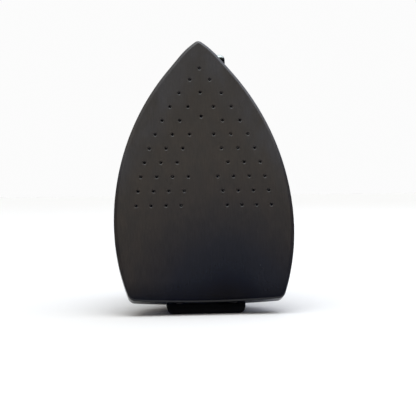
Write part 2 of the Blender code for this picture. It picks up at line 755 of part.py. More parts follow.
def helix(radius, length, turns, wire):
    # a compression spring along its own Z, its wire ending half a wire inside its length
    pitch = (length - 2 * wire) / turns
    print("spring: least gap between turns", round((pitch - 2 * wire) / MM, 2), "mm")
    points = []
    for step in range(turns * SPRING_POINTS + 1):
        angle = math.tau * step / SPRING_POINTS
        points.append(Vector((radius * math.cos(angle), radius * math.sin(angle),
                              wire + pitch * step / SPRING_POINTS)))
    return points


def screw(name, at, turn, radius, length, head_r, head, material="screw_steel"):
    # at is the point under the head, and turn points from the tip to the head
    profile = ((0, -length), (radius, -length), (radius, 0), (head_r, 0), (head_r, head), (0, head))
    return turned(name, profile, material, at, turn, SCREW_SIDES)


def steam_hole_places():
    places = []
    for row, count in enumerate(SIDE_HOLES_PER_ROW):
        along = FIRST_HOLE_ROW + HOLE_ROW_PITCH * row
        settled = min(row / SETTLED_ROW, 1)
        inset = OUTER_HOLES_IN_REAR + (OUTER_HOLES_IN_FRONT - OUTER_HOLES_IN_REAR) * settled
        outer = half_width(along, inset)
        spacing = HOLE_SPACING * (1 + SPACING_GROWTH_SHARE * row)
        for index in range(count):
            across = outer - spacing * index
            places += [(across, along), (-across, along)]
    places += [(0.0, FIRST_HOLE_ROW + HOLE_ROW_PITCH * row) for row in CENTRE_HOLE_ROWS]
    return places


UP = Vector((0, 0, 1))
LEFT = Vector((1, 0, 0))
RIGHT = Vector((-1, 0, 0))
TO_TOE = Vector((0, -1, 0))
TO_HEEL = Vector((0, 1, 0))


def make_shoe():
    rings = []
    for step in range(EDGE_STEPS + 1):
        angle = math.pi / 2 * step / EDGE_STEPS
        inset = SHOE_EDGE * (1 - math.sin(angle))
        rings.append(ring(sole_outline(inset), SHOE_EDGE * (1 - math.cos(angle))))
    rings.append(ring(sole_outline(), SHOE_RIM - RIM_BREAK))
    rings.append(ring(sole_outline(RIM_BREAK), SHOE_RIM))
    rings.append(ring(sole_outline(SHOE_WALL), SHOE_RIM))
    rings.append(ring(sole_outline(SHOE_WALL), SHOE_FLOOR))
    shoe = loft("ptfe_shoe", rings, "coating")
    profile = ((HOLE_SINK_R, -OVERRUN), (HOLE_SINK_R, 0), (HOLE_R, HOLE_SINK),
               (HOLE_R, SHOE_FLOOR + OVERRUN))
    drill(shoe, [(spot(across, along, 0), UP, profile) for across, along in steam_hole_places()], HOLE_SIDES)
    profile = countersunk(SCREW_R + GAP, SHOE_WALL + GAP, SCREW_HEAD_R + GAP,
                          SHOE_SCREW_HEAD + GAP + OVERRUN)
    seats = [spot(side * SHOE_SCREW_X, SHOE_SEAT, SHOE_SCREW_HEIGHT) for side in (1, -1)]
    drill(shoe, [(seat, TO_HEEL, profile) for seat in seats])
    for seat, word in zip(seats, ("left", "right")):
        screw("shoe_screw_" + word, seat + TO_HEEL * GAP, TO_HEEL, SCREW_R, SHOE_SCREW_BITE, SCREW_HEAD_R,
              SHOE_SCREW_HEAD)


def groove_outline():
    # the U of the element's groove, rear ends open to the plate's rear
    rear = ELEMENT_REAR - GROOVE_HALF
    outer = ELEMENT_HALF + GROOVE_HALF
    inner = ELEMENT_HALF - GROOVE_HALF
    turns = [math.pi * step / ELEMENT_ARC_STEPS for step in range(ELEMENT_ARC_STEPS + 1)]
    far = [(outer * math.cos(turn), ELEMENT_ARC_AT + outer * math.sin(turn)) for turn in turns]
    near = [(inner * math.cos(turn), ELEMENT_ARC_AT + inner * math.sin(turn)) for turn in reversed(turns)]
    return [(outer, rear)] + far + [(-outer, rear), (-inner, rear)] + near + [(inner, rear)]


def chamber_outline(spare=0.0):
    return box_outline(-CHAMBER_HALF - spare, CHAMBER_HALF + spare, CHAMBER_REAR - spare,
                       CHAMBER_FRONT + spare, CHAMBER_CORNER + spare)


def plate_screw_places():
    across = PLATE_HALF - PLATE_SCREW_IN
    rows = (PLATE_REAR + PLATE_SCREW_REAR_IN, PLATE_SHOULDER - PLATE_SCREW_BEHIND_SHOULDER)
    return [(side * across, along) for along in rows for side in (1, -1)]


def bracket_screw_places():
    along = BRACKET_BACK + BRACKET_LENGTH - BRACKET_SCREW_IN
    return [(side * BRACKET_SCREW_X, along) for side in (1, -1)]


def make_casting():
    rings = (ring(sole_outline(CAST_INSET), CAST_BOTTOM),
             ring(sole_outline(CAST_INSET), CAST_TOP - CAST_CHAMFER_DROP),
             ring(sole_outline(CAST_INSET + CAST_CHAMFER), CAST_TOP))
    casting = loft("soleplate_casting", rings, "cast_aluminium")
    below = CAST_TOP - CAST_CHAMFER_DROP
    for name, along in (("front_boss", FRONT_BOSS), ("rear_boss", REAR_BOSS)):
        fuse(casting, rod(name, spot(0, along, 0), UP, BOSS_R, below, BOSS_TOP))
    spread = body_outline(SPREAD_INSET, FIRST_HOLE_ROW - SPREAD_BEHIND_ROW,
                          FIRST_HOLE_ROW + HOLE_ROW_PITCH * (CENTRE_HOLE_ROWS[-1] - 1), CHAMBER_CORNER)
    cut(casting, slab("steam_spread", spread, 0, CAST_BOTTOM + SPREAD_DEPTH, None))
    cut(casting, slab("chamber_space", chamber_outline(), CHAMBER_FLOOR, CAST_TOP + OVERRUN, None))
    cut(casting, slab("element_groove", groove_outline(), ELEMENT_HEIGHT - GROOVE_HALF,
                      CAST_TOP + OVERRUN, None))
    thread = straight(STUD_R + GAP, CAST_TOP - STUD_DEPTH - GAP, BOSS_TOP + OVERRUN)
    holes = [(spot(0, along, 0), UP, thread) for along in (FRONT_BOSS, REAR_BOSS)]
    holes.append((spot(VALVE_X, VALVE_ALONG, 0), UP,
                  straight(ADAPTER_R + GAP, GALLERY_HEIGHT - GALLERY_R, CAST_TOP + OVERRUN)))
    port = straight(PORT_R, CAST_BOTTOM, CHAMBER_FLOOR + OVERRUN)
    for column in range(PORTS_ACROSS):
        for share in PORT_ROW_SHARES:
            across = PORT_PITCH_ACROSS * (column - (PORTS_ACROSS - 1) / 2)
            along = CHAMBER_REAR + (CHAMBER_FRONT - CHAMBER_REAR) * share
            holes.append((spot(across, along, 0), UP, port))
    for sheet_top, places in ((PLATE_TOP, plate_screw_places()), (BRACKET_BASE_TOP, bracket_screw_places())):
        thread = straight(SCREW_R + GAP, sheet_top - SCREW_BITE, CAST_TOP + OVERRUN)
        holes += [(spot(across, along, 0), UP, thread) for across, along in places]
    thread = straight(SCREW_R + GAP, 0, SHOE_SEAT + SHOE_SCREW_BITE)
    holes += [(spot(side * SHOE_SCREW_X, 0, SHOE_SCREW_HEIGHT), TO_TOE, thread) for side in (1, -1)]
    drill(casting, holes)
    gallery = straight(GALLERY_R, -OVERRUN, VALVE_ALONG + OVERRUN - CHAMBER_FRONT)
    drill(casting, [(spot(VALVE_X, CHAMBER_FRONT, GALLERY_HEIGHT), TO_TOE, gallery)])


def make_element():
    # up at the rear left, forward, round the front and back up at the rear right
    bend = []
    for step in range(ELEMENT_BEND_STEPS + 1):
        angle = math.pi / 2 * step / ELEMENT_BEND_STEPS
        bend.append((ELEMENT_REAR + ELEMENT_BEND * (1 - math.cos(angle)),
                     ELEMENT_HEIGHT + ELEMENT_BEND * (1 - math.sin(angle))))
    leg = [(ELEMENT_REAR, ELEMENT_END)] + bend
    points = [spot(ELEMENT_HALF, along, height) for along, height in leg]
    for step in range(ELEMENT_ARC_STEPS + 1):
        angle = math.pi * step / ELEMENT_ARC_STEPS
        points.append(spot(ELEMENT_HALF * math.cos(angle), ELEMENT_ARC_AT + ELEMENT_HALF * math.sin(angle),
                           ELEMENT_HEIGHT))
    points += [spot(-ELEMENT_HALF, along, height) for along, height in reversed(leg)]
    tube("heating_element", points, ELEMENT_R, "sheathed_steel")


def make_chamber_cover():
    gasket = slab("chamber_gasket", chamber_outline(GASKET_BAND), GASKET_LOW, GASKET_LOW + GASKET_THICK,
                  "silicone")
    cut(gasket, slab("gasket_middle", chamber_outline(), CAST_TOP, PLATE_TOP, None))
    corners = ((-PLATE_HALF, PLATE_REAR), (PLATE_HALF, PLATE_REAR), (PLATE_HALF, PLATE_SHOULDER),
               (PLATE_NOSE_HALF, PLATE_FRONT), (-PLATE_NOSE_HALF, PLATE_FRONT),
               (-PLATE_HALF, PLATE_SHOULDER))
    outline = rounded([(across, along, PLATE_CORNER) for across, along in corners])
    plate = slab("chamber_cover", outline, PLATE_LOW, PLATE_TOP, "plate_steel")
    seats = [spot(across, along, PLATE_TOP + GAP) for across, along in plate_screw_places()]
    hole = straight(SCREW_R + GAP, -PLATE_THICK - OVERRUN, OVERRUN)
    drill(plate, [(seat, UP, hole) for seat in seats])
    for number, seat in enumerate(seats, 1):
        screw("cover_screw_%d" % number, seat, UP, SCREW_R, SCREW_BITE, SCREW_HEAD_R, SCREW_HEAD)


def make_shield():
    front = COVER_FRONT - COVER_WALL - SHIELD_ROOM
    rear = COVER_REAR + COVER_WALL + SHIELD_ROOM
    shield = slab("heat_shield", body_outline(SHIELD_INSET, rear, front, COVER_CORNER), SHIELD_LOW,
                  SHIELD_TOP, "mica")
    holes = [(0, FRONT_BOSS, STUD_R + GAP), (0, REAR_BOSS, STUD_R + GAP),
             (0, THERMOSTAT_ALONG, THERMOSTAT_R + SHIELD_ROOM)]
    holes += [(side * ELEMENT_HALF, ELEMENT_REAR, ELEMENT_R + TERMINAL_ROOM) for side in (1, -1)]
    drill(shield, [(spot(across, along, SHIELD_LOW), UP, straight(radius, -OVERRUN, SHIELD_THICK + OVERRUN))
                   for across, along, radius in holes], TURNED_SIDES)


def make_base_cover():
    rings = []
    rise = COVER_TOP - COVER_BOTTOM
    for tall, wide in zip(COVER_HEIGHT_SHARES, COVER_WIDTH_SHARES):
        outline = body_outline(COVER_INSET, COVER_REAR, COVER_FRONT, COVER_CORNER, wide)
        rings.append(ring(outline, COVER_BOTTOM + rise * tall))
    cover = loft("base_cover", rings, "black_plastic")
    inner = []
    for tall, wide in zip(COVER_HEIGHT_SHARES, COVER_WIDTH_SHARES):
        outline = body_outline(COVER_INSET + COVER_WALL, COVER_REAR + COVER_WALL, COVER_FRONT - COVER_WALL,
                               COVER_CORNER - COVER_WALL, wide)
        base = -OVERRUN if tall == 0 else 0
        inner.append(ring(outline, COVER_BOTTOM + base + (rise - COVER_WALL) * tall))
    cut(cover, loft("cover_space", inner, None))
    boss_low = SHIELD_TOP + GAP
    for name, along in (("front", FRONT_BOSS), ("rear", REAR_BOSS)):
        fuse(cover, rod("cover_boss_" + name, spot(0, along, 0), UP, COVER_BOSS_R, boss_low,
                        COVER_TOP - COVER_WALL / 2))
    stud_way = straight(STUD_R + GAP, boss_low - OVERRUN, COVER_TOP + OVERRUN)
    roof = COVER_TOP - COVER_WALL - OVERRUN
    drill(cover, ((spot(0, FRONT_BOSS, 0), UP, stud_way), (spot(0, REAR_BOSS, 0), UP, stud_way),
                  (spot(0, THERMOSTAT_ALONG, 0), UP, straight(SHAFT_R + GAP, roof, COVER_TOP + OVERRUN)),
                  (spot(0, WIRES_ALONG, 0), UP, straight(WIRE_HOLE_R, roof, COVER_TOP + OVERRUN))))


def make_studs():
    for name, along in (("front", FRONT_BOSS), ("rear", REAR_BOSS)):
        top = NUT_LOW + NUT_HEIGHT + STUD_TAIL
        rod(name + "_stud", spot(0, along, 0), UP, STUD_R, CAST_TOP - STUD_DEPTH, top, "screw_steel",
            SCREW_SIDES)
        at = spot(0, along, NUT_LOW)
        nut = rod(name + "_nut", at, UP, NUT_R, 0, NUT_HEIGHT, "screw_steel", NUT_SIDES)
        drill(nut, [(at, UP, straight(STUD_R + GAP, -OVERRUN, NUT_HEIGHT + OVERRUN))])


def fluted(depth, core):
    # every other point of the rim stands back, but not those of the core
    return lambda radius, side: radius - (depth if side % 2 and radius > core else 0)


def make_thermostat():
    seat = SHAFT_R + GAP
    floor = THERMOSTAT_TOP - SHAFT_SEAT - THERMOSTAT_LOW
    tall = THERMOSTAT_TOP - THERMOSTAT_LOW
    profile = ((0, 0), (THERMOSTAT_R, 0), (THERMOSTAT_R, THERMOSTAT_HEIGHT),
               (THERMOSTAT_NECK_R, THERMOSTAT_HEIGHT), (THERMOSTAT_NECK_R, tall), (seat, tall),
               (seat, floor), (0, floor))
    turned("thermostat_body", profile, "ceramic", spot(0, THERMOSTAT_ALONG, THERMOSTAT_LOW))
    axis = spot(0, THERMOSTAT_ALONG, DIAL_LOW)
    bottom = THERMOSTAT_TOP - SHAFT_SEAT + GAP - DIAL_LOW
    top = DIAL_HEIGHT - DIAL_BORE_ROOF - GAP
    rod("thermostat_shaft", axis, UP, SHAFT_R, bottom, top, "screw_steel", SCREW_SIDES)
    bore = SHAFT_R + GAP
    roof = DIAL_HEIGHT - DIAL_BORE_ROOF
    profile = ((bore, 0), (DIAL_R, 0), (DIAL_R, DIAL_HEIGHT - DIAL_DOME),
               (DIAL_R - DIAL_DOME, DIAL_HEIGHT), (0, DIAL_HEIGHT))
    profile = ((0, roof), (bore, roof)) + profile
    turned("temperature_dial", profile, "dial_plastic", axis, sides=2 * DIAL_FLUTES,
           radius_at=fluted(DIAL_FLUTE_DEPTH, bore))
    outer = ((DIAL_RING_INNER_R, 0), (DIAL_RING_R, 0), (DIAL_RING_R, DIAL_RING_THICK),
             (DIAL_RING_INNER_R, DIAL_RING_THICK))
    turned("dial_ring", outer, "plate_steel", spot(0, THERMOSTAT_ALONG, DIAL_RING_LOW), sides=32,
           closed=True)


def make_fuse():
    low = PLATE_TOP + GAP
    inner = FUSE_R + GAP
    outer = inner + CLIP_THICK
    floor = low + CLIP_THICK
    top = low + CLIP_HEIGHT
    middle = PLATE_REAR + FUSE_IN
    channel = ((middle - outer, low), (middle + outer, low), (middle + outer, top),
               (middle + inner, top), (middle + inner, floor), (middle - inner, floor),
               (middle - inner, top), (middle - outer, top))
    side_slab("fuse_clip", channel, FUSE_X - CLIP_LENGTH / 2, FUSE_X + CLIP_LENGTH / 2, "brass")
    rod("thermal_fuse", spot(FUSE_X, middle, floor + inner), LEFT, FUSE_R, -FUSE_LENGTH / 2,
        FUSE_LENGTH / 2, "lamp_glass", SCREW_SIDES)


def make_terminal_block():
    low = SHIELD_TOP + GAP
    rear = ELEMENT_REAR - BLOCK_LENGTH / 2
    block = slab("terminal_block", box_outline(-BLOCK_HALF, BLOCK_HALF, rear, rear + BLOCK_LENGTH), low,
                 low + BLOCK_HEIGHT, "ceramic")
    pitch = 2 * BLOCK_HALF / BLOCK_POCKETS
    pocket = straight(BLOCK_POCKET_R, -BLOCK_POCKET_DEPTH, OVERRUN)
    drill(block, [(spot(pitch * (number - (BLOCK_POCKETS - 1) / 2), ELEMENT_REAR, low + BLOCK_HEIGHT), UP,
                   pocket) for number in range(BLOCK_POCKETS)])


def make_heel():
    rear = BRACKET_BACK
    front = BRACKET_BACK + BRACKET_LENGTH
    low = BRACKET_LOW
    profile = ((rear, low), (front, low), (front, low + BRACKET_THICK),
               (rear + BRACKET_THICK, low + BRACKET_THICK), (rear + BRACKET_THICK, BRACKET_TOP),
               (rear, BRACKET_TOP))
    bracket = side_slab("heel_bracket", profile, -BRACKET_HALF, BRACKET_HALF, "plate_steel")
    boss_way = straight(BOSS_R + GAP, -OVERRUN, BRACKET_THICK + OVERRUN)
    drill(bracket, [(spot(0, REAR_BOSS, low), UP, boss_way)], TURNED_SIDES)
    seats = [spot(across, along, low + BRACKET_THICK + GAP) for across, along in bracket_screw_places()]
    hole = straight(SCREW_R + GAP, -BRACKET_THICK - OVERRUN, OVERRUN)
    holes = [(seat, UP, hole) for seat in seats]
    for seat, word in zip(seats, ("left", "right")):
        screw("bracket_screw_" + word, seat, UP, SCREW_R, SCREW_BITE, SCREW_HEAD_R, SCREW_HEAD)
    front = BRACKET_BACK - GAP
    face = SHOE_RIM + HEEL_BEHIND_RIM
    under = CAST_INSET - HEEL_BELOW_CASTING
    foot = ((floor_along(face), face), (under, face), (under, low), (front, low), (front, HEEL_TOP),
            (floor_along(HEEL_TOP), HEEL_TOP))
    heel = side_slab("heel_rest", foot, -HEEL_HALF, HEEL_HALF, "heel_plastic")
    on_foot = GAP / 2

    def corner_edge(first, second):
        off = [abs(-point.y - floor_along(point.z)) for point in (first, second)]
        return max(off) < on_foot and abs(first.x - second.x) < on_foot

    bevel(heel, HEEL_ROUNDING, EDGE_STEPS, corner_edge)
    head_seat = front - HEEL_WEB
    tip = HEEL_WEB + GAP + BRACKET_THICK
    hole = countersunk(HEEL_SCREW_R + GAP, HEEL_WEB + OVERRUN, HEEL_SCREW_HEAD_R + GAP, 2 * HEEL_TOP)
    thread = straight(HEEL_SCREW_R + GAP, -OVERRUN, BRACKET_THICK + OVERRUN)
    seats = [spot(side * HEEL_SCREW_X, head_seat, HEEL_SCREW_HEIGHT) for side in (1, -1)]
    drill(heel, [(seat, TO_HEEL, hole) for seat in seats])
    holes += [(spot(-seat.x, BRACKET_BACK, HEEL_SCREW_HEIGHT), TO_TOE, thread) for seat in seats]
    drill(bracket, holes)
    for seat, word in zip(seats, ("left", "right")):
        screw("heel_screw_" + word, seat + TO_HEEL * GAP, TO_HEEL, HEEL_SCREW_R, tip + GAP,
              HEEL_SCREW_HEAD_R, HEEL_SCREW_HEAD)


def handle_profile():
    # rear foot line, grip top, front brow and belly, then the arch's inner side
    rear = COVER_REAR + POST_SETBACK
    front = HANDLE_FRONT
    stand_off = (PAD_THICK + GAP) / math.cos(LEAN)
    low = (floor_along(FOOT_LOW) + stand_off, FOOT_LOW, 0)
    high = (floor_along(FOOT_HIGH) + stand_off, FOOT_HIGH, SMALL_BEND)
    shoulder = GRIP_TOP - GRIP_SHOULDER
    return rounded((
        (rear, POST_BOTTOM, 0), low, high,
        (high[0] + REAR_TOP_RUN, shoulder, MIDDLE_BEND),
        ((rear + front) / 2, GRIP_TOP, CROWN_BEND),
        (front + FRONT_LEAN - FRONT_TOP_RUN, shoulder, MIDDLE_BEND),
        (front + FRONT_LEAN, GRIP_TOP - FRONT_BROW, MIDDLE_BEND),
        (front + FRONT_LEAN, GRIP_TOP - FRONT_BELLY, BELLY_BEND),
        (front, POST_BOTTOM, 0), (FRONT_POST_INNER, POST_BOTTOM, 0),
        (FRONT_POST_INNER + INNER_FRONT_LEAN, GRIP_UNDER, INNER_FRONT_BEND),
        (REAR_POST_INNER + INNER_REAR_LEAN, GRIP_UNDER, INNER_REAR_BEND),
        (REAR_POST_INNER, POST_BOTTOM, 0)))


def make_handle_shell(word, side):
    profile = handle_profile()
    seam = GAP / 2 * side
    outer = HANDLE_HALF * side
    shell = side_slab("handle_shell_" + word, profile, seam, outer, "black_plastic")
    near = GAP / 2

    def rim_edge(first, second):
        on_side = min(first.x * side, second.x * side) > HANDLE_HALF - near
        at_bottom = max(first.z, second.z) < POST_BOTTOM + near
        return on_side and not at_bottom

    bevel(shell, HANDLE_EDGE, HANDLE_EDGE_STEPS, rim_edge)
    cut(shell, side_slab("handle_space_" + word, inward(profile, HANDLE_WALL), -OVERRUN * side,
                         (HANDLE_HALF - HANDLE_SIDE_WALL) * side, None))
    outward = LEFT * side
    embed = HANDLE_HALF - HANDLE_SIDE_WALL + WALL_TAIL
    pivot = spot(0, *TRIGGER_PIVOT)
    fuse(shell, rod("pin_boss_" + word, pivot, outward, PIN_BOSS_R, TRIGGER_HALF + GAP, embed))
    switch_at = spot(0, SWITCH_CENTRE, SWITCH_UNDER + SWITCH_HEIGHT / 2)
    fuse(shell, rod("switch_peg_" + word, switch_at, outward, SWITCH_HEIGHT / 2 - GAP, SWITCH_HALF + GAP,
                    embed))
    seat = HANDLE_HALF - HANDLE_SCREW_SINK
    if side > 0:
        hole = straight(SCREW_R + GAP, -OVERRUN, HANDLE_SCREW_BITE + GAP)
    else:
        hole = straight(SCREW_R + GAP, -OVERRUN, seat)
        hole += straight(SCREW_HEAD_R + GAP, seat, HANDLE_HALF + OVERRUN)
    holes = [(pivot, outward, straight(PIN_R + GAP, 0, PIN_HALF + GAP))]
    for number, (along, height) in enumerate(HANDLE_SCREWS, 1):
        at = spot(0, along, height)
        fuse(shell, rod("handle_boss_%s_%d" % (word, number), at, outward, HANDLE_BOSS_R, GAP / 2, embed))
        holes.append((at, outward, hole))
        if side < 0:
            screw("handle_screw_%d" % number, at + outward * (seat + GAP), outward, SCREW_R,
                  seat + HANDLE_SCREW_BITE, SCREW_HEAD_R, SCREW_HEAD)
    slot = box_outline(TRIGGER_PIVOT[0] - TRIGGER_REACH - SLOT_END_ROOM,
                       TRIGGER_PIVOT[0] + TRIGGER_EYE_R + SLOT_ROOM,
                       GRIP_UNDER - HANDLE_WALL, GRIP_UNDER + HANDLE_WALL + WALL_TAIL)
    cut(shell, side_slab("trigger_slot_" + word, slot, -OVERRUN * side,
                         (TRIGGER_HALF + SLOT_ROOM) * side, None))
    stud_way = straight(STUD_R + GAP, -OVERRUN, HANDLE_WALL + OVERRUN)
    wire_way = straight(WIRE_HOLE_R, -OVERRUN, HANDLE_WALL + OVERRUN)
    lens_way = countersunk(LENS_R + GAP, LENS_BODY, LENS_FLANGE_R + GAP, GRIP_TOP - LENS_SEAT + OVERRUN)
    gland_way = countersunk(GLAND_R + GAP, GLAND_TAIL, GLAND_FLANGE_R + GAP, GRIP_TOP - GLAND_SEAT + OVERRUN)
    holes += [(spot(0, along, height), UP, way) for along, height, way in (
        (FRONT_BOSS, POST_BOTTOM, stud_way), (REAR_BOSS, POST_BOTTOM, stud_way),
        (WIRES_ALONG, POST_BOTTOM, wire_way), (LENS_ALONG, LENS_SEAT, lens_way),
        (GLAND_ALONG, GLAND_SEAT, gland_way))]
    drill(shell, holes, HANDLE_HOLE_SIDES)


def grip_top_at(along):
    # height of the grip's top between its rear and front shoulders
    rear = COVER_REAR + POST_SETBACK
    middle = (rear + HANDLE_FRONT) / 2
    reach = HANDLE_FRONT + FRONT_LEAN - FRONT_TOP_RUN - middle
    return GRIP_TOP - GRIP_SHOULDER * abs(along - middle) / reach


LENS_ALONG = FRONT_POST_INNER + LENS_AHEAD
LENS_SEAT = grip_top_at(LENS_ALONG) - LENS_FLANGE
GLAND_SEAT = GRIP_TOP - GLAND_SUNK


def make_pad():
    # rubber pad on the foot line at the rear of the handle
    along = Vector((math.sin(LEAN), math.cos(LEAN)))
    start = Vector((floor_along(FOOT_LOW), FOOT_LOW)) + along * PAD_MARGIN
    end = Vector((floor_along(FOOT_HIGH), FOOT_HIGH)) - along * (PAD_MARGIN + SMALL_BEND / 2)
    thick = Vector((math.cos(LEAN), -math.sin(LEAN))) * PAD_THICK
    profile = [tuple(point) for point in (start, start + thick, end + thick, end)]
    side_slab("rear_foot_pad", profile, -PAD_HALF, PAD_HALF, "rubber")


def make_trigger():
    pivot_along, pivot_height = TRIGGER_PIVOT
    at = spot(0, pivot_along, pivot_height)
    tip = pivot_along - TRIGGER_REACH
    low = GRIP_UNDER - TRIGGER_DROP
    back = pivot_height - TRIGGER_BACK
    nub_top = SWITCH_UNDER - BUTTON_OUT - GAP
    nub = pivot_along - TRIGGER_NUB_ARM
    eye_front = pivot_along + TRIGGER_EYE_R
    corners = ((tip, low, TRIGGER_HALF), (pivot_along, GRIP_UNDER, SMALL_BEND),
               (eye_front, pivot_height - TRIGGER_EYE_R, TRIGGER_HALF),
               (eye_front, pivot_height + TRIGGER_EYE_R, TRIGGER_HALF),
               (pivot_along - TRIGGER_EYE_R, pivot_height + TRIGGER_EYE_R, TRIGGER_HALF),
               (nub + TRIGGER_NUB_HALF, nub_top, 0), (nub - TRIGGER_NUB_HALF, nub_top, 0),
               (nub - TRIGGER_NUB_HALF, back, 0), (tip, back, TRIGGER_NUB_HALF))
    trigger = side_slab("steam_trigger", rounded(corners), -TRIGGER_HALF, TRIGGER_HALF,
                        "trigger_plastic", at)
    through = TRIGGER_HALF + OVERRUN
    drill(trigger, [(at, LEFT, straight(PIN_R + GAP, -through, through))])
    rod("trigger_pin", at, LEFT, PIN_R, -PIN_HALF, PIN_HALF, "screw_steel", SCREW_SIDES)
    foot = spot(0, pivot_along - TRIGGER_SPRING_ARM, back + GAP)
    length = SWITCH_UNDER - GAP - back - GAP
    coils = helix(TRIGGER_SPRING_R, length, TRIGGER_SPRING_TURNS, TRIGGER_SPRING_WIRE)
    tube("trigger_spring", [foot + point for point in coils], TRIGGER_SPRING_WIRE, "screw_steel", foot, 1)


def make_microswitch():
    rear = SWITCH_REAR
    nub = TRIGGER_PIVOT[0] - TRIGGER_NUB_ARM
    top = SWITCH_UNDER + SWITCH_HEIGHT
    body = side_slab("microswitch_body", box_outline(rear, rear + SWITCH_LENGTH, SWITCH_UNDER, top),
                     -SWITCH_HALF, SWITCH_HALF, "black_plastic")
    at = spot(0, nub, SWITCH_UNDER)
    drill(body, [(at, UP, straight(BUTTON_R + GAP, -OVERRUN, BUTTON_IN + BUTTON_TRAVEL + GAP))])
    rod("microswitch_button", at, UP, BUTTON_R, -BUTTON_OUT, BUTTON_IN, "trigger_plastic", SCREW_SIDES)


def make_pilot_light():
    at = spot(0, LENS_ALONG, LENS_SEAT + GAP)
    bore = LAMP_R + GAP
    profile = ((0, -LENS_BODY + LAMP_SEAT), (bore, -LENS_BODY + LAMP_SEAT), (bore, -LENS_BODY),
               (LENS_R, -LENS_BODY), (LENS_R, 0), (LENS_FLANGE_R, 0), (LENS_FLANGE_R, LENS_FLANGE),
               (LENS_R, LENS_FLANGE + LENS_DOME * 3 / 4), (0, LENS_FLANGE + LENS_DOME))
    turned("pilot_lens", profile, "lens", at)
    lamp_top = -LENS_BODY + LAMP_SEAT - GAP
    profile = ((0, lamp_top - LAMP_LENGTH), (LAMP_R, lamp_top - LAMP_LENGTH), (LAMP_R, lamp_top - LAMP_R),
               (LAMP_R / 2, lamp_top - LAMP_R / 8), (0, lamp_top))
    turned("pilot_lamp", profile, "lamp_glass", at, sides=SCREW_SIDES)


def make_gland():
    seat = GLAND_SEAT + GAP
    profile = ((GLAND_BORE_R, -GLAND_TAIL), (GLAND_R, -GLAND_TAIL), (GLAND_R, 0), (GLAND_FLANGE_R, 0),
               (GLAND_FLANGE_R, GLAND_FLANGE), (GLAND_R, GLAND_FLANGE), (GLAND_R, GLAND_FLANGE + GLAND_NECK),
               (GLAND_BORE_R, GLAND_FLANGE + GLAND_NECK))
    at = spot(0, GLAND_ALONG, seat)
    turned("gland_body", profile, "black_plastic", at, sides=GLAND_SIDES, closed=True)
    low = GLAND_FLANGE + GLAND_NECK + GLAND_NUT_LIP - GLAND_NUT
    roof = GLAND_FLANGE + GLAND_NECK + GAP
    high = low + GLAND_NUT
    inner = GLAND_R + GAP
    profile = ((inner, low), (GLAND_NUT_R, low), (GLAND_NUT_R, roof), (GLAND_R, high), (GLAND_BORE_R, high),
               (GLAND_BORE_R, roof), (inner, roof))
    turned("gland_nut", profile, "black_plastic", at, sides=GLAND_SIDES, closed=True)


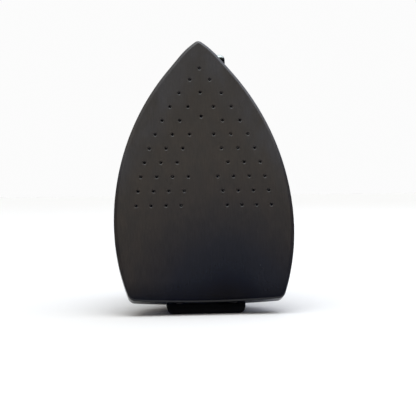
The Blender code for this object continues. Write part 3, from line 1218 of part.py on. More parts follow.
def make_valve():
    centre = spot(VALVE_X, VALVE_ALONG, 0)
    outline = box_outline(VALVE_BODY_LEFT, VALVE_BODY_RIGHT, VALVE_ALONG - VALVE_BODY_BEHIND,
                          VALVE_ALONG + VALVE_BODY_AHEAD, VALVE_BODY_CORNER, VALVE_CORNER_STEPS)
    body = slab("valve_body", outline, VALVE_LOW, VALVE_TOP, "nickel")
    seat = VALVE_LOW + SEAT_HEIGHT
    adapter_top = VALVE_LOW + ADAPTER_BITE
    stepped = straight(ADAPTER_R + GAP, VALVE_LOW - OVERRUN, adapter_top + GAP)
    stepped += straight(SEAT_HOLE_R, adapter_top + GAP, seat)
    stepped += straight(TUBE_INNER_R, seat, VALVE_TOP + OVERRUN)
    collar_low = CAST_TOP + GAP
    collar_top = VALVE_LOW - GAP
    profile = ((ADAPTER_BORE_R, GALLERY_HEIGHT + GALLERY_R), (ADAPTER_R, GALLERY_HEIGHT + GALLERY_R),
               (ADAPTER_R, collar_low), (ADAPTER_COLLAR_R, collar_low), (ADAPTER_COLLAR_R, collar_top),
               (ADAPTER_R, collar_top), (ADAPTER_R, adapter_top), (ADAPTER_BORE_R, adapter_top))
    turned("steam_adapter", profile, "brass", centre, sides=SCREW_SIDES, closed=True)

    rod("valve_plunger", spot(VALVE_X, VALVE_ALONG, PLUNGER_LOW), UP, PLUNGER_R, 0, PLUNGER_LENGTH,
        "plate_steel")
    roof = PLUNGER_TOP + SPRING_SPACE
    shoulder = YOKE_TOP - TUBE_WALL
    profile = ((TUBE_INNER_R, TUBE_LOW), (TUBE_FLANGE_R, TUBE_LOW), (TUBE_FLANGE_R, TUBE_LOW + TUBE_FLANGE),
               (TUBE_OUTER_R, TUBE_LOW + TUBE_FLANGE), (TUBE_OUTER_R, shoulder), (TUBE_STUD_R, shoulder),
               (TUBE_STUD_R, shoulder + TUBE_TAIL), (0, shoulder + TUBE_TAIL), )
    tube_profile = ((0, roof), (TUBE_INNER_R, roof)) + profile
    turned("core_tube", tube_profile, "nickel", centre)
    foot = spot(VALVE_X, VALVE_ALONG, PLUNGER_TOP + GAP)
    coils = helix(PLUNGER_R - PLUNGER_SPRING_IN, SPRING_SPACE - 2 * GAP, PLUNGER_SPRING_TURNS,
                  PLUNGER_SPRING_WIRE)
    tube("plunger_spring", [foot + point for point in coils], PLUNGER_SPRING_WIRE, "screw_steel", foot, 1)

    outline = box_outline(VALVE_X - COIL_HALF, VALVE_X + COIL_HALF, VALVE_ALONG - COIL_HALF,
                          VALVE_ALONG + COIL_HALF, COIL_CORNER, VALVE_CORNER_STEPS)
    coil = slab("solenoid_coil", outline, COIL_LOW, COIL_TOP, "black_plastic")
    tube_way = straight(TUBE_OUTER_R + GAP, YOKE_LOW - OVERRUN, YOKE_TOP + OVERRUN)
    drill(coil, [(centre, UP, tube_way)], TURNED_SIDES)
    rear = VALVE_ALONG - COIL_HALF - GAP - YOKE_THICK
    front = VALVE_ALONG + YOKE_HALF
    inner = rear + YOKE_THICK
    profile = ((rear, YOKE_LOW), (front, YOKE_LOW), (front, YOKE_LOW + YOKE_THICK),
               (inner, YOKE_LOW + YOKE_THICK), (inner, COIL_TOP + GAP), (front, COIL_TOP + GAP),
               (front, YOKE_TOP), (rear, YOKE_TOP))
    yoke = side_slab("coil_yoke", profile, VALVE_X - YOKE_HALF, VALVE_X + YOKE_HALF, "plate_steel")
    drill(yoke, [(centre, UP, tube_way)], TURNED_SIDES)
    nut_low = YOKE_TOP + GAP
    nut = rod("coil_nut", centre, UP, COIL_NUT_R, nut_low, nut_low + COIL_NUT_HEIGHT, "nickel", NUT_SIDES)
    nut_way = straight(TUBE_STUD_R + GAP, nut_low - OVERRUN, nut_low + COIL_NUT_HEIGHT + OVERRUN)
    drill(nut, [(centre, UP, nut_way)])

    away = TO_HEEL * math.cos(BARB_TURN) + LEFT * math.sin(BARB_TURN)
    at = spot(BARB_X, VALVE_ALONG - VALVE_BODY_BEHIND, (VALVE_LOW + VALVE_TOP) / 2)
    root_face = at + away * (BARB_HEX_R * math.tan(BARB_TURN) + GAP)
    profile = [(BARB_BORE_R, -BARB_TAIL), (BARB_TAIL_R, -BARB_TAIL), (BARB_TAIL_R, 0), (BARB_HEX_R, 0),
               (BARB_HEX_R, BARB_HEX), (BARB_R, BARB_HEX)]
    rib = (BARB_LENGTH - BARB_HEX) / BARB_RIBS
    for number in range(BARB_RIBS):
        low = BARB_HEX + rib * number
        profile += [(BARB_RIB_R, low + rib / BARB_RIBS), (BARB_R, low + rib)]
    profile.append((BARB_BORE_R, BARB_LENGTH))
    turned("inlet_barb", profile, "brass", root_face, away, SCREW_SIDES, closed=True)
    barb_way = straight(BARB_TAIL_R + GAP, -BARB_TAIL - GAP, BARB_HEX)

    needle_at = spot(VALVE_BODY_LEFT - GAP, VALVE_ALONG + ADJUSTER_AHEAD, (VALVE_LOW + VALVE_TOP) / 2)
    profile = ((0, -ADJUSTER_NEEDLE), (ADJUSTER_NEEDLE_R, -ADJUSTER_NEEDLE + ADJUSTER_NEEDLE_R),
               (ADJUSTER_NEEDLE_R, 0), (ADJUSTER_KNOB_R, 0), (ADJUSTER_KNOB_R, ADJUSTER_KNOB),
               (0, ADJUSTER_KNOB))
    turned("steam_adjuster", profile, "brass", needle_at, RIGHT, 2 * ADJUSTER_FLUTES,
           radius_at=fluted(ADJUSTER_FLUTE_DEPTH, ADJUSTER_NEEDLE_R))
    needle_way = straight(ADJUSTER_NEEDLE_R + GAP, -OVERRUN, ADJUSTER_NEEDLE + 2 * GAP)
    drill(body, ((centre, UP, stepped), (root_face, away, barb_way), (needle_at, LEFT, needle_way)))


def set_origin():
    # the part's origin is the middle of its footprint, on the table
    bpy.context.view_layer.update()
    depsgraph = bpy.context.evaluated_depsgraph_get()
    depths = []
    for item in bpy.data.objects:
        if item.type == "EMPTY" or item.hide_render:
            continue
        shape = item.evaluated_get(depsgraph)
        mesh = shape.to_mesh()
        depths += [(shape.matrix_world @ vertex.co).y for vertex in mesh.vertices]
        shape.to_mesh_clear()
    stand.location.y -= (min(depths) + max(depths)) / 2


stand = bpy.data.objects.new("stand", None)
bpy.context.collection.objects.link(stand)
stand.rotation_euler = (-(math.pi / 2 + LEAN), 0, 0)
stand.location = (0, 0, SOLE_LIFT)

make_shoe()
make_casting()
make_element()
make_chamber_cover()
make_shield()
make_base_cover()
make_studs()
make_thermostat()
make_fuse()
make_terminal_block()
make_heel()
make_handle_shell("left", 1)
make_handle_shell("right", -1)
make_pad()
make_trigger()
make_microswitch()
make_pilot_light()
make_gland()
make_valve()
set_origin()
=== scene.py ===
# A gravity-feed steam iron standing on its heel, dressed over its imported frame.
import json
import math
import bmesh
import bpy
from mathutils import Matrix, Vector


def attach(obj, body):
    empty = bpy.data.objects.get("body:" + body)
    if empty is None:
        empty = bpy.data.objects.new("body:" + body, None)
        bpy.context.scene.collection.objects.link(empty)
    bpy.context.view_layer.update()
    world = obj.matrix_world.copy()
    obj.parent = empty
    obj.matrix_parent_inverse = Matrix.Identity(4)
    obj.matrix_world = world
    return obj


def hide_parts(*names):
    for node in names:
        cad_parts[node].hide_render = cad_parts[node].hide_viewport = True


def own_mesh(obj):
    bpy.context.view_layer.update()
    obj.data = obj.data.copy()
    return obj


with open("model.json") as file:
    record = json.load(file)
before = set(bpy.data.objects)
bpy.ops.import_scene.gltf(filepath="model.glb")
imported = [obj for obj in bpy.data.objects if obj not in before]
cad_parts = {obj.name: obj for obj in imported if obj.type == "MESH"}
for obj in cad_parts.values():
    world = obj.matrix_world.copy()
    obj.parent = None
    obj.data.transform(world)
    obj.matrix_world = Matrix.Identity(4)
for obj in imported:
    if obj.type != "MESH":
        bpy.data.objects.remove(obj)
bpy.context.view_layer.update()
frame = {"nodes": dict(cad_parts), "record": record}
nodes = frame["nodes"]
print("frame loaded:", len(nodes), "nodes")

# every shape is drawn in millimetres as if the iron lay on its sole (toe towards -Y), then tipped onto
# its heel
mm = 0.001
lean = math.radians(18)
lift = 10.0  # how high the sole's rear edge stands above the table
standTurn = Matrix.Rotation(-(math.pi / 2 + lean), 4, "X")
onStand = Matrix.Translation((0, -0.081876, lift * mm)) @ standTurn
toStand = onStand @ Matrix.Scale(mm, 4)
gap = 0.3
quarter = math.pi / 2
up, left, right = Vector((0, 0, 1)), Vector((1, 0, 0)), Vector((-1, 0, 0))
toToe, toHeel = Vector((0, -1, 0)), Vector((0, 1, 0))
# what several pieces share: screws, studs and the valve's axis, in millimetres across, along and up
joinValues = {"studs": (152, 27), "studBore": 3.3, "wireHole": (38.5, 4.5), "valve": (9.5, 191),
              "plateScrewSide": 37.5, "plateScrewRows": (60, 104), "rearScrewSide": 17, "bracketScrew": 30.2,
              "heelScrew": 37, "shoeScrewSide": 20, "shoeScrew": 6.8, "screwBore": 1.9}


def spot(across, along, height):
    return Vector((across, -along, height))


def bothSides(across, along, height):
    return [spot(side * across, along, height) for side in (1, -1)]


def shoeScrewPlaces(along):
    return bothSides(joinValues["shoeScrewSide"], along, joinValues["shoeScrew"])


def heelScrewPlaces(along):
    return bothSides(joinValues["rearScrewSide"], along, joinValues["heelScrew"])


def bracketScrewPlaces(height):
    return bothSides(joinValues["rearScrewSide"], joinValues["bracketScrew"], height)


def plateScrewPlaces(height):
    return [place for row in joinValues["plateScrewRows"]
            for place in bothSides(joinValues["plateScrewSide"], row, height)]


studPlaces = [spot(0, along, 0) for along in joinValues["studs"]]


def floorAlong(height):
    # where the table meets a given height above the sole face
    return (height * math.sin(lean) - lift) / math.cos(lean)


# node helpers, for the surround, the materials and Geometry Nodes alike
def feed(tree, socket, value):
    if hasattr(value, "links"):
        tree.links.new(value, socket)
    else:
        socket.default_value = value


def addNode(tree, kind, fixed=(), **wires):
    # one node, with its fixed choices, and its inputs wired or set
    node = tree.nodes.new(kind)
    for word, value in dict(fixed).items():
        setattr(node, word, value)
    for word, value in wires.items():
        sockets = [socket for socket in node.inputs if socket.name == word.replace("_", " ") and socket.enabled]
        for entry in value if isinstance(value, list) else [value]:
            feed(tree, sockets[0], entry)
    return node


def worked(tree, kind, *values):
    # one sum on sockets or numbers
    node = addNode(tree, "ShaderNodeMath", {"operation": kind})
    for socket, value in zip(node.inputs, values):
        feed(tree, socket, value)
    return node.outputs[0]


def ramped(tree, value, stops, easing="LINEAR"):
    ramp = addNode(tree, "ShaderNodeValToRGB", Fac=value)
    ramp.color_ramp.interpolation = easing
    elements = ramp.color_ramp.elements
    while len(elements) < len(stops):
        elements.new(0.5)
    for element, (position, colour) in zip(elements, stops):
        element.position = position
        element.color = (*colour, 1)
    return ramp.outputs["Color"]


# camera, light and floor
viewValues = {"cameraPlace": (-0.05682, -0.81048, 0.09859), "turn": -4.5429, "tilt": -1.555, "roll": -0.6248,
              "lens": 86.54, "floorHalf": 6.0, "floorColour": (0.96, 0.96, 0.95), "floorRough": 0.75,
              "floorShine": 0.2, "backdrop": (0.97, 0.97, 0.97),
              "air": ((0.518, (0.006, 0.014, 0.050)), (0.575, (0.86, 0.78, 0.66)), (0.82, (0.92, 0.90, 0.87)),
                      (0.96, (2.95, 3.05, 3.15))),
              "rimPlace": (1.0, 0.85, 1.65), "rimTarget": (0, 0, 0.12), "rimSize": (1.8, 1.4), "rimPower": 9.0,
              "rimColour": (0.82, 0.93, 1.2)}


def makeCamera(values):
    data = bpy.data.cameras.new("viewCamera")
    data.lens = values["lens"]
    data.sensor_width = 36
    data.clip_start = 0.01
    camera = bpy.data.objects.new("viewCamera", data)
    bpy.context.collection.objects.link(camera)
    turn = (Matrix.Rotation(math.radians(values["turn"]), 4, "Z")
            @ Matrix.Rotation(math.radians(90 + values["tilt"]), 4, "X")
            @ Matrix.Rotation(math.radians(values["roll"]), 4, "Z"))
    camera.matrix_world = Matrix.Translation(Vector(values["cameraPlace"])) @ turn
    bpy.context.scene.camera = camera


def softLight(name, place, target, size, power, colour):
    data = bpy.data.lights.new(name, "AREA")
    data.shape = "RECTANGLE"
    data.size, data.size_y = size
    data.energy = power
    data.color = colour
    light = bpy.data.objects.new(name, data)
    light.visible_camera = False
    bpy.context.collection.objects.link(light)
    aim = (Vector(target) - Vector(place)).to_track_quat("-Z", "Y")
    light.matrix_world = Matrix.Translation(Vector(place)) @ aim.to_matrix().to_4x4()


def makeAir(values):
    # soft surround, dim and cool near the floor, bright and warm overhead; the camera sees a plain backdrop
    world = bpy.data.worlds.new("studio")
    bpy.context.scene.world = world
    world.use_nodes = True
    tree = world.node_tree
    tree.nodes.clear()
    place = addNode(tree, "ShaderNodeTexCoord")
    split = addNode(tree, "ShaderNodeSeparateXYZ", Vector=place.outputs["Generated"])
    air = addNode(tree, "ShaderNodeBackground", Color=ramped(tree, split.outputs["Z"], values["air"], "EASE"))
    backdrop = addNode(tree, "ShaderNodeBackground", Color=(*values["backdrop"], 1))
    path = addNode(tree, "ShaderNodeLightPath")
    mix = addNode(tree, "ShaderNodeMixShader")
    for socket, source in zip(mix.inputs, (path.outputs["Is Camera Ray"], air.outputs[0], backdrop.outputs[0])):
        feed(tree, socket, source)
    addNode(tree, "ShaderNodeOutputWorld", Surface=mix.outputs[0])


def makeFloor(values):
    half = values["floorHalf"]
    mesh = bpy.data.meshes.new("studioFloor")
    corners = [(-half, -half, 0), (half, -half, 0), (half, half, 0), (-half, half, 0)]
    mesh.from_pydata(corners, [], [(0, 1, 2, 3)])
    floor = bpy.data.objects.new("studioFloor", mesh)
    bpy.context.collection.objects.link(floor)
    material = bpy.data.materials.new("floorPaint")
    material.use_nodes = True
    shader = material.node_tree.nodes["Principled BSDF"]
    shader.inputs["Base Color"].default_value = (*values["floorColour"], 1)
    shader.inputs["Roughness"].default_value = values["floorRough"]
    shader.inputs["Specular IOR Level"].default_value = values["floorShine"]
    mesh.materials.append(material)


makeCamera(viewValues)
makeAir(viewValues)
makeFloor(viewValues)
softLight("rimLight", *[viewValues["rim" + word] for word in ("Place", "Target", "Size", "Power", "Colour")])
bpy.context.scene.view_settings.view_transform = "Standard"
print("camera, light and floor are set")


# materials: every finish has its own grain, tone changes and wear
def treeParts(name):
    # a material whose patterns are laid out on the lying iron
    material = bpy.data.materials.new(name)
    material.use_nodes = True
    tree = material.node_tree
    place = addNode(tree, "ShaderNodeTexCoord")
    turned = addNode(tree, "ShaderNodeMapping", Vector=place.outputs["Object"],
                     Rotation=(math.pi / 2 + lean, 0, 0), Location=onStand.inverted().translation)
    return material, tree, tree.nodes["Principled BSDF"], turned.outputs["Vector"]


def noiseAt(tree, where, scale, detail=4.0, stretch=(1, 1, 1), rough=0.55, distortion=0.0):
    # a noise read on coordinates that may be stretched along the iron
    if stretch != (1, 1, 1):
        where = addNode(tree, "ShaderNodeMapping", Vector=where, Scale=stretch).outputs["Vector"]
    return addNode(tree, "ShaderNodeTexNoise", Vector=where, Scale=scale, Detail=detail, Roughness=rough,
                   Distortion=distortion).outputs["Fac"]


def ranged(tree, value, low, high, fromLow=0.3, fromHigh=0.7):
    return addNode(tree, "ShaderNodeMapRange", Value=value, From_Min=fromLow, From_Max=fromHigh, To_Min=low,
                   To_Max=high).outputs["Result"]


def mixed(tree, share, one, other, kind="MIX"):
    mix = addNode(tree, "ShaderNodeMix", {"data_type": "RGBA", "blend_type": kind})
    for index, value in ((0, share), (6, one), (7, other)):
        feed(tree, mix.inputs[index], (*value, 1) if isinstance(value, tuple) else value)
    return mix.outputs[2]


def bumped(tree, shader, layers):
    # layers of (height, strength, distance in metres), one bump on the other
    normal = None
    for height, strength, distance in layers:
        bump = addNode(tree, "ShaderNodeBump", Height=height, Strength=strength, Distance=distance)
        if normal is not None:
            feed(tree, bump.inputs["Normal"], normal)
        normal = bump.outputs["Normal"]
    feed(tree, shader.inputs["Normal"], normal)


def surface(name, tones, rough, metallic=0.0, patch=40, grain=1500, bump=(0.2, 0.00004), stretch=(1, 1, 1),
            cells=False, paintedShade=None, **sockets):
    # tones change over patches, roughness over the grain, and the grain stands out as a bump
    material, tree, shader, where = treeParts(name)
    base = ramped(tree, noiseAt(tree, where, patch, 5.0), ((0.35, tones[0]), (0.68, tones[1])))
    if paintedShade:
        # painted shade: darkest below the first height, gone above the second, and left off the front end
        split = addNode(tree, "ShaderNodeSeparateXYZ", Vector=where).outputs
        unshadedShare = worked(tree, "MAXIMUM", ranged(tree, split["Z"], 0.0, 1.0, *paintedShade["heights"]),
                        ranged(tree, split["Y"], 1.0, 0.0, *paintedShade["front"]))
        base = mixed(tree, unshadedShare, paintedShade["tone"], base)
    feed(tree, shader.inputs["Base Color"], base)
    if cells:
        fine = addNode(tree, "ShaderNodeTexVoronoi", Vector=where, Scale=grain).outputs["Distance"]
    else:
        fine = noiseAt(tree, where, grain, 3.0, stretch)
    worn = noiseAt(tree, where, patch * 4, 6.0)
    feed(tree, shader.inputs["Roughness"], ranged(tree, worn, *rough))
    bumped(tree, shader, ((worn, bump[0] * 0.5, bump[1]), (fine, *bump)))
    shader.inputs["Metallic"].default_value = metallic
    for word, value in sockets.items():
        shader.inputs[word.replace("_", " ")].default_value = value
    return material


def soleCoating(values):
    # baked non-stick coat: mottled warm grey with fine strokes that run from heel to toe, a painted sheen, lighter
    # and cooler, along the toe's edges, and painted shade, darker and bluer, towards the heel
    material, tree, shader, where = treeParts("coating")
    split = addNode(tree, "ShaderNodeSeparateXYZ", Vector=where).outputs
    noise = {word: noiseAt(tree, where, *numbers) for word, numbers in values["noises"].items()}
    # painted shade: the distance from a point near the heel, along which the base tone is laid
    away = addNode(tree, "ShaderNodeMapping", Vector=where, Location=values["shadeCentre"],
                   Scale=values["shadeScale"])
    reach = addNode(tree, "ShaderNodeVectorMath", {"operation": "LENGTH"}, Vector=away.outputs["Vector"])
    # painted sheen: the share of a lighter, cooler tone in patches along the toe's edges
    side = worked(tree, "ABSOLUTE", split["X"])
    slanted = worked(tree, "MULTIPLY_ADD", split["Y"], -values["toeSheenSlope"], side)
    toeSheenShare = worked(tree, "MULTIPLY", ranged(tree, slanted, 0.0, 1.0, *values["toeSheenEdge"]),
                      ranged(tree, noise["patches"], *values["toeSheenPatches"]))

    def shaded(base, source, limits, tone):
        return mixed(tree, ranged(tree, source, 0.0, 1.0, *limits), base, tone, "MULTIPLY")

    # painted shade: darkest and bluest near the heel, lightest part way out, with the mottle laid over it
    base = shaded(ramped(tree, reach.outputs["Value"], values["shadeTones"]), noise["clouds"], (0.40, 0.60),
                  values["mottle"])
    # painted sheen along the toe's edges
    base = mixed(tree, toeSheenShare, base, values["toeSheen"])
    # painted shade: darker and bluer still in a strip along the heel's edge
    base = shaded(base, split["Y"], values["heelShadeBand"], values["heelShade"])
    base = shaded(base, noise["grain"], (0.35, 0.65), values["grainTone"])
    base = shaded(base, noise["speckle"], (0.42, 0.70), values["speckTone"])
    base = mixed(tree, ranged(tree, noise["strokes"], *values["strokeShare"]), base, values["stroke"])
    feed(tree, shader.inputs["Base Color"], base)
    feed(tree, shader.inputs["Roughness"], ranged(tree, noise["wipe"], *values["rough"]))
    bumped(tree, shader, [(noise[word], *numbers) for word, numbers in values["bumps"]])
    shader.inputs["Specular IOR Level"].default_value = values["specular"]
    return material


# noises are (scale, detail, stretch, roughness, distortion), bumps (strength, distance in metres)
# shadeCentre, shadeScale and shadeTones paint shade that darkens and turns bluer towards the heel
coatValues = {"shadeCentre": (-0.09, 0.04, 0), "shadeScale": (6.2, -5, 0),
              "shadeTones": ((0.075, (0.0003, 0.0012, 0.0055)), (0.13, (0.0022, 0.0044, 0.0120)),
                            (0.175, (0.0066, 0.0090, 0.0165)), (0.26, (0.0120, 0.0135, 0.0205)),
                            (0.36, (0.0225, 0.0205, 0.0225)), (0.45, (0.0310, 0.0265, 0.0250)),
                            (0.60, (0.0380, 0.0320, 0.0275)), (0.80, (0.0350, 0.0295, 0.0250)),
                            (0.95, (0.0320, 0.0275, 0.0235))),
              # heelShadeBand and heelShade paint shade in a strip along the heel's edge
              "heelShadeBand": (-0.017, -0.001), "heelShade": (0.10, 0.16, 0.34),
              # toeSheenSlope, toeSheenEdge, toeSheenPatches and toeSheen paint a cooler sheen along the toe's
              # edges
              "mottle": (0.86, 0.90, 0.95), "toeSheenSlope": 0.625, "toeSheenEdge": (0.107, 0.128),
              "toeSheenPatches": (0.25, 1.0, 0.40, 0.62), "toeSheen": (0.040, 0.0395, 0.043),
              "grainTone": (0.80, 0.80, 0.82), "speckTone": (1.25, 1.25, 1.28), "stroke": (0.060, 0.060, 0.062),
              "strokeShare": (0.0, 0.35, 0.66, 0.74), "rough": (0.20, 0.28), "specular": 0.36,
              "noises": {"clouds": (95, 4.0, (1, 0.6, 1), 0.6), "patches": (30, 5.0, (1.4, 0.7, 1), 0.6, 0.4),
                         "speckle": (2600, 3.0), "grain": (1100, 3.0, (1, 0.10, 1), 0.6),
                         "strokes": (46, 7.0, (9, 0.35, 1), 0.75), "wipe": (34, 6.0, (1, 0.5, 1), 0.6)},
              "bumps": (("wipe", (0.10, 0.0002)), ("grain", (0.10, 0.00003)), ("speckle", (0.12, 0.00004)))}
finishes = {
    "coating": soleCoating(coatValues),
    "cast_aluminium": surface("castAluminium", ((0.40, 0.40, 0.41), (0.56, 0.56, 0.57)), (0.36, 0.55), 1.0, 70,
                              900, (0.35, 0.00008), cells=True),
    "sheathed_steel": surface("sheathedSteel", ((0.16, 0.15, 0.15), (0.30, 0.29, 0.29)), (0.38, 0.60), 1.0, 90,
                              1500, (0.2, 0.00003)),
    "silicone": surface("siliconeRed", ((0.34, 0.06, 0.035), (0.45, 0.09, 0.055)), (0.55, 0.75), 0.0, 60, 1800),
    "plate_steel": surface("plateSteel", ((0.46, 0.47, 0.49), (0.60, 0.61, 0.63)), (0.26, 0.44), 1.0, 50, 900,
                           (0.12, 0.00003), (1, 14, 14)),
    "screw_steel": surface("screwSteel", ((0.50, 0.50, 0.52), (0.70, 0.70, 0.72)), (0.20, 0.38), 1.0, 120, 2200,
                           (0.12, 0.00003)),
    "black_screw": surface("blackScrew", ((0.012, 0.012, 0.013), (0.026, 0.026, 0.027)), (0.42, 0.60), 0.6, 120,
                           2200, (0.12, 0.00003)),
    "mica": surface("micaSheet", ((0.40, 0.33, 0.23), (0.62, 0.54, 0.41)), (0.40, 0.66), 0.0, 120, 900,
                    (0.25, 0.00006)),
    "black_plastic": surface("blackPlastic", ((0.010, 0.010, 0.011), (0.016, 0.016, 0.017)), (0.34, 0.50), 0.0,
                             45, 1700, (0.30, 0.00006)),
    # black plastic, made darker and bluer than plain black plastic as painted shade
    "heel_plastic": surface("heelPlasticShaded", ((0.0016, 0.0017, 0.0022), (0.0034, 0.0036, 0.0045)), (0.44, 0.60), 0.0,
                            40, 1500, (0.25, 0.00006), Specular_IOR_Level=0.16),
    "rubber": surface("padRubber", ((0.011, 0.011, 0.011), (0.021, 0.021, 0.020)), (0.66, 0.88), 0.0, 90, 1200,
                      (0.35, 0.00008)),
    "ceramic": surface("ceramicBody", ((0.70, 0.68, 0.61), (0.84, 0.82, 0.76)), (0.36, 0.58), 0.0, 80, 1300,
                       (0.2, 0.00005)),
    "dial_plastic": surface("dialPlastic", ((0.014, 0.014, 0.016), (0.022, 0.022, 0.024)), (0.28, 0.44), 0.0, 55,
                            1900, (0.22, 0.00005)),
    "trigger_plastic": surface("triggerRed", ((0.36, 0.016, 0.010), (0.47, 0.028, 0.017)), (0.28, 0.44), 0.0, 60,
                               1700, (0.18, 0.00005)),
    "nickel": surface("nickelPlate", ((0.60, 0.59, 0.57), (0.76, 0.75, 0.72)), (0.16, 0.30), 1.0, 60, 1600,
                      (0.08, 0.00003)),
    # the valve body's nickel, with painted shade over its lower part
    "valve_nickel": surface("valveNickel", ((0.33, 0.365, 0.35), (0.43, 0.47, 0.45)), (0.16, 0.28), 1.0, 60, 1600,
                            (0.08, 0.00003), paintedShade={"heights": (0.0245, 0.0285), "front": (-0.2063, -0.2053),
                                                    "tone": (0.010, 0.013, 0.013)}),
    "brass": surface("brassMetal", ((0.55, 0.38, 0.14), (0.76, 0.57, 0.25)), (0.20, 0.38), 1.0, 80, 1700,
                     (0.10, 0.00003)),
    "lens": surface("lensRed", ((0.62, 0.045, 0.02), (0.74, 0.07, 0.03)), (0.08, 0.16), 0.0, 50, 900,
                    (0.05, 0.00003), Transmission_Weight=0.45),
    "lamp_glass": surface("lampGlass", ((0.70, 0.52, 0.36), (0.80, 0.66, 0.50)), (0.06, 0.14), 0.0, 60, 900,
                          (0.04, 0.00003), Transmission_Weight=0.5),
    "mark_white": surface("markWhite", ((0.72, 0.72, 0.70), (0.82, 0.82, 0.80)), (0.40, 0.55), 0.0, 120, 1500,
                          (0.1, 0.00002)),
}
print("materials made:", len(finishes))


# shape helpers, all in lying millimetres
def arc(a, b, wide, first, last, steps, skip=0, tall=None):
    # points about (a, b) from one angle to another, on a circle or an upright ellipse
    tall = tall or wide
    angles = [first + (last - first) * step / steps for step in range(skip, steps + 1)]
    return [(a + wide * math.cos(angle), b + tall * math.sin(angle)) for angle in angles]


def rounded(corners, steps=10):
    # replaces each corner (a, b, radius) of an outline with an arc
    points = []
    for index, (a, b, radius) in enumerate(corners):
        here = Vector((a, b))
        if radius == 0:
            points.append((a, b))
            continue
        back = Vector(corners[index - 1][:2]) - here
        ahead = Vector(corners[(index + 1) % len(corners)][:2]) - here
        half = back.angle(ahead) / 2
        reach = min(radius / math.tan(half), back.length / 2, ahead.length / 2)
        radius = reach * math.tan(half)
        centre = here + (back.normalized() + ahead.normalized()).normalized() * radius / math.sin(half)
        start = here + back.normalized() * reach - centre
        turn = start.angle_signed(here + ahead.normalized() * reach - centre)
        first = math.atan2(start.y, start.x)
        points += arc(centre.x, centre.y, radius, first, first - turn, steps)
    return points


def boxOutline(lowA, highA, lowB, highB, radius=0.0, steps=10):
    return rounded([(lowA, lowB, radius), (highA, lowB, radius), (highA, highB, radius),
                    (lowA, highB, radius)], steps)


def inward(points, distance):
    # the outline moved inwards by a wall, corner by corner
    area = sum(a[0] * b[1] - b[0] * a[1] for a, b in zip(points, points[1:] + points[:1]))
    side = 1 if area > 0 else -1
    moved = []
    for index, point in enumerate(points):
        here = Vector(point)
        before = (here - Vector(points[index - 1])).normalized()
        after = (Vector(points[(index + 1) % len(points)]) - here).normalized()
        normal = Vector((-before.y - after.y, before.x + after.x)).normalized() * side
        slant = max(normal.dot(Vector((-before.y, before.x)) * side), 0.5)
        moved.append(tuple(here + normal * distance / slant))
    return moved


def flatRing(outline, height):
    return [spot(across, along, height) for across, along in outline]


def lofted(rings):
    # skins rings of equally many points and closes both ends
    bm = bmesh.new()
    loops = [[bm.verts.new(point) for point in points] for points in rings]
    for low, high in zip(loops, loops[1:]):
        for index in range(len(low)):
            nearby = (index + 1) % len(low)
            bm.faces.new((low[index], low[nearby], high[nearby], high[index]))
    bm.faces.new(loops[0])
    bm.faces.new(loops[-1])
    bmesh.ops.recalc_face_normals(bm, faces=bm.faces)
    return bm


def slab(outline, low, high):
    return lofted((flatRing(outline, low), flatRing(outline, high)))


def sideSlab(profile, across, farAcross):
    # a side profile (along, height) stretched across the iron
    return lofted([[spot(x, along, height) for along, height in profile] for x in (across, farAcross)])


def turnedShape(profile, at, axis=up, sides=48, closed=False, reachAt=None):
    # turns a profile (radius, height) about an axis through at
    bm = bmesh.new()
    turn = axis.to_track_quat("Z", "Y")
    loops = []
    for radius, height in profile:
        if radius == 0:
            loops.append([bm.verts.new(at + turn @ Vector((0, 0, height)))])
            continue
        loop = []
        for side in range(sides):
            angle = math.tau * side / sides
            reach = reachAt(radius, angle, height) if reachAt else radius
            loop.append(bm.verts.new(at + turn @ Vector((reach * math.cos(angle), reach * math.sin(angle),
                                                         height))))
        loops.append(loop)
    pairs = list(zip(loops, loops[1:]))
    if closed:
        pairs.append((loops[-1], loops[0]))
    for low, high in pairs:
        for side in range(sides):
            after = (side + 1) % sides
            lower = (low[side % len(low)], low[after % len(low)])
            upper = (high[after % len(high)], high[side % len(high)])
            bm.faces.new(tuple(dict.fromkeys(lower + upper)))
    bmesh.ops.recalc_face_normals(bm, faces=bm.faces)
    return bm


def rodShape(at, axis, radius, start, end, sides=32):
    return turnedShape(((0, start), (radius, start), (radius, end), (0, end)), at, axis, sides)


def merged(shapes):
    # several shapes in one mesh
    whole = bmesh.new()
    for shape in shapes:
        mesh = bpy.data.meshes.new("joining")
        shape.to_mesh(mesh)
        shape.free()
        whole.from_mesh(mesh)
        bpy.data.meshes.remove(mesh)
    return whole


def drillShape(holes, sides=24):
    # each hole is a place, a direction and a profile (radius, depth)
    return merged([turnedShape(((0, profile[0][1]), *profile, (0, profile[-1][1])), at, direction, sides)
                   for at, direction, profile in holes])


def holesAt(places, direction, profile):
    return [(place, direction, profile) for place in places]


def straight(radius, start, end):
    return (radius, start), (radius, end)


def countersunk(radius, through, headRadius, headDepth):
    return (radius, -through), (radius, 0), (headRadius, 0), (headRadius, headDepth)


def pinProfile(radius, low, high, chamfer=0.3):
    return ((0, low), (radius - chamfer, low), (radius, low + chamfer), (radius, high - chamfer),
            (radius - chamfer, high), (0, high))


def softened(bm, width, segments=2, above=40, chosen=None):
    # rounds the edges that turn by more than some degrees, or those that pass a test
    limit = math.radians(above)
    edges = [edge for edge in bm.edges if len(edge.link_faces) == 2
             and (chosen(*[vertex.co for vertex in edge.verts]) if chosen else edge.calc_face_angle(0) > limit)]
    bmesh.ops.bevel(bm, geom=edges, offset=width, segments=segments, profile=0.5, affect="EDGES",
                    clamp_overlap=True)
    return bm


def tempObject(bm):
    mesh = bpy.data.meshes.new("shaping")
    bm.to_mesh(mesh)
    bm.free()
    item = bpy.data.objects.new("shaping", mesh)
    bpy.context.collection.objects.link(item)
    return item


def discard(items):
    for item in items:
        mesh = item.data
        bpy.data.objects.remove(item)
        bpy.data.meshes.remove(mesh)


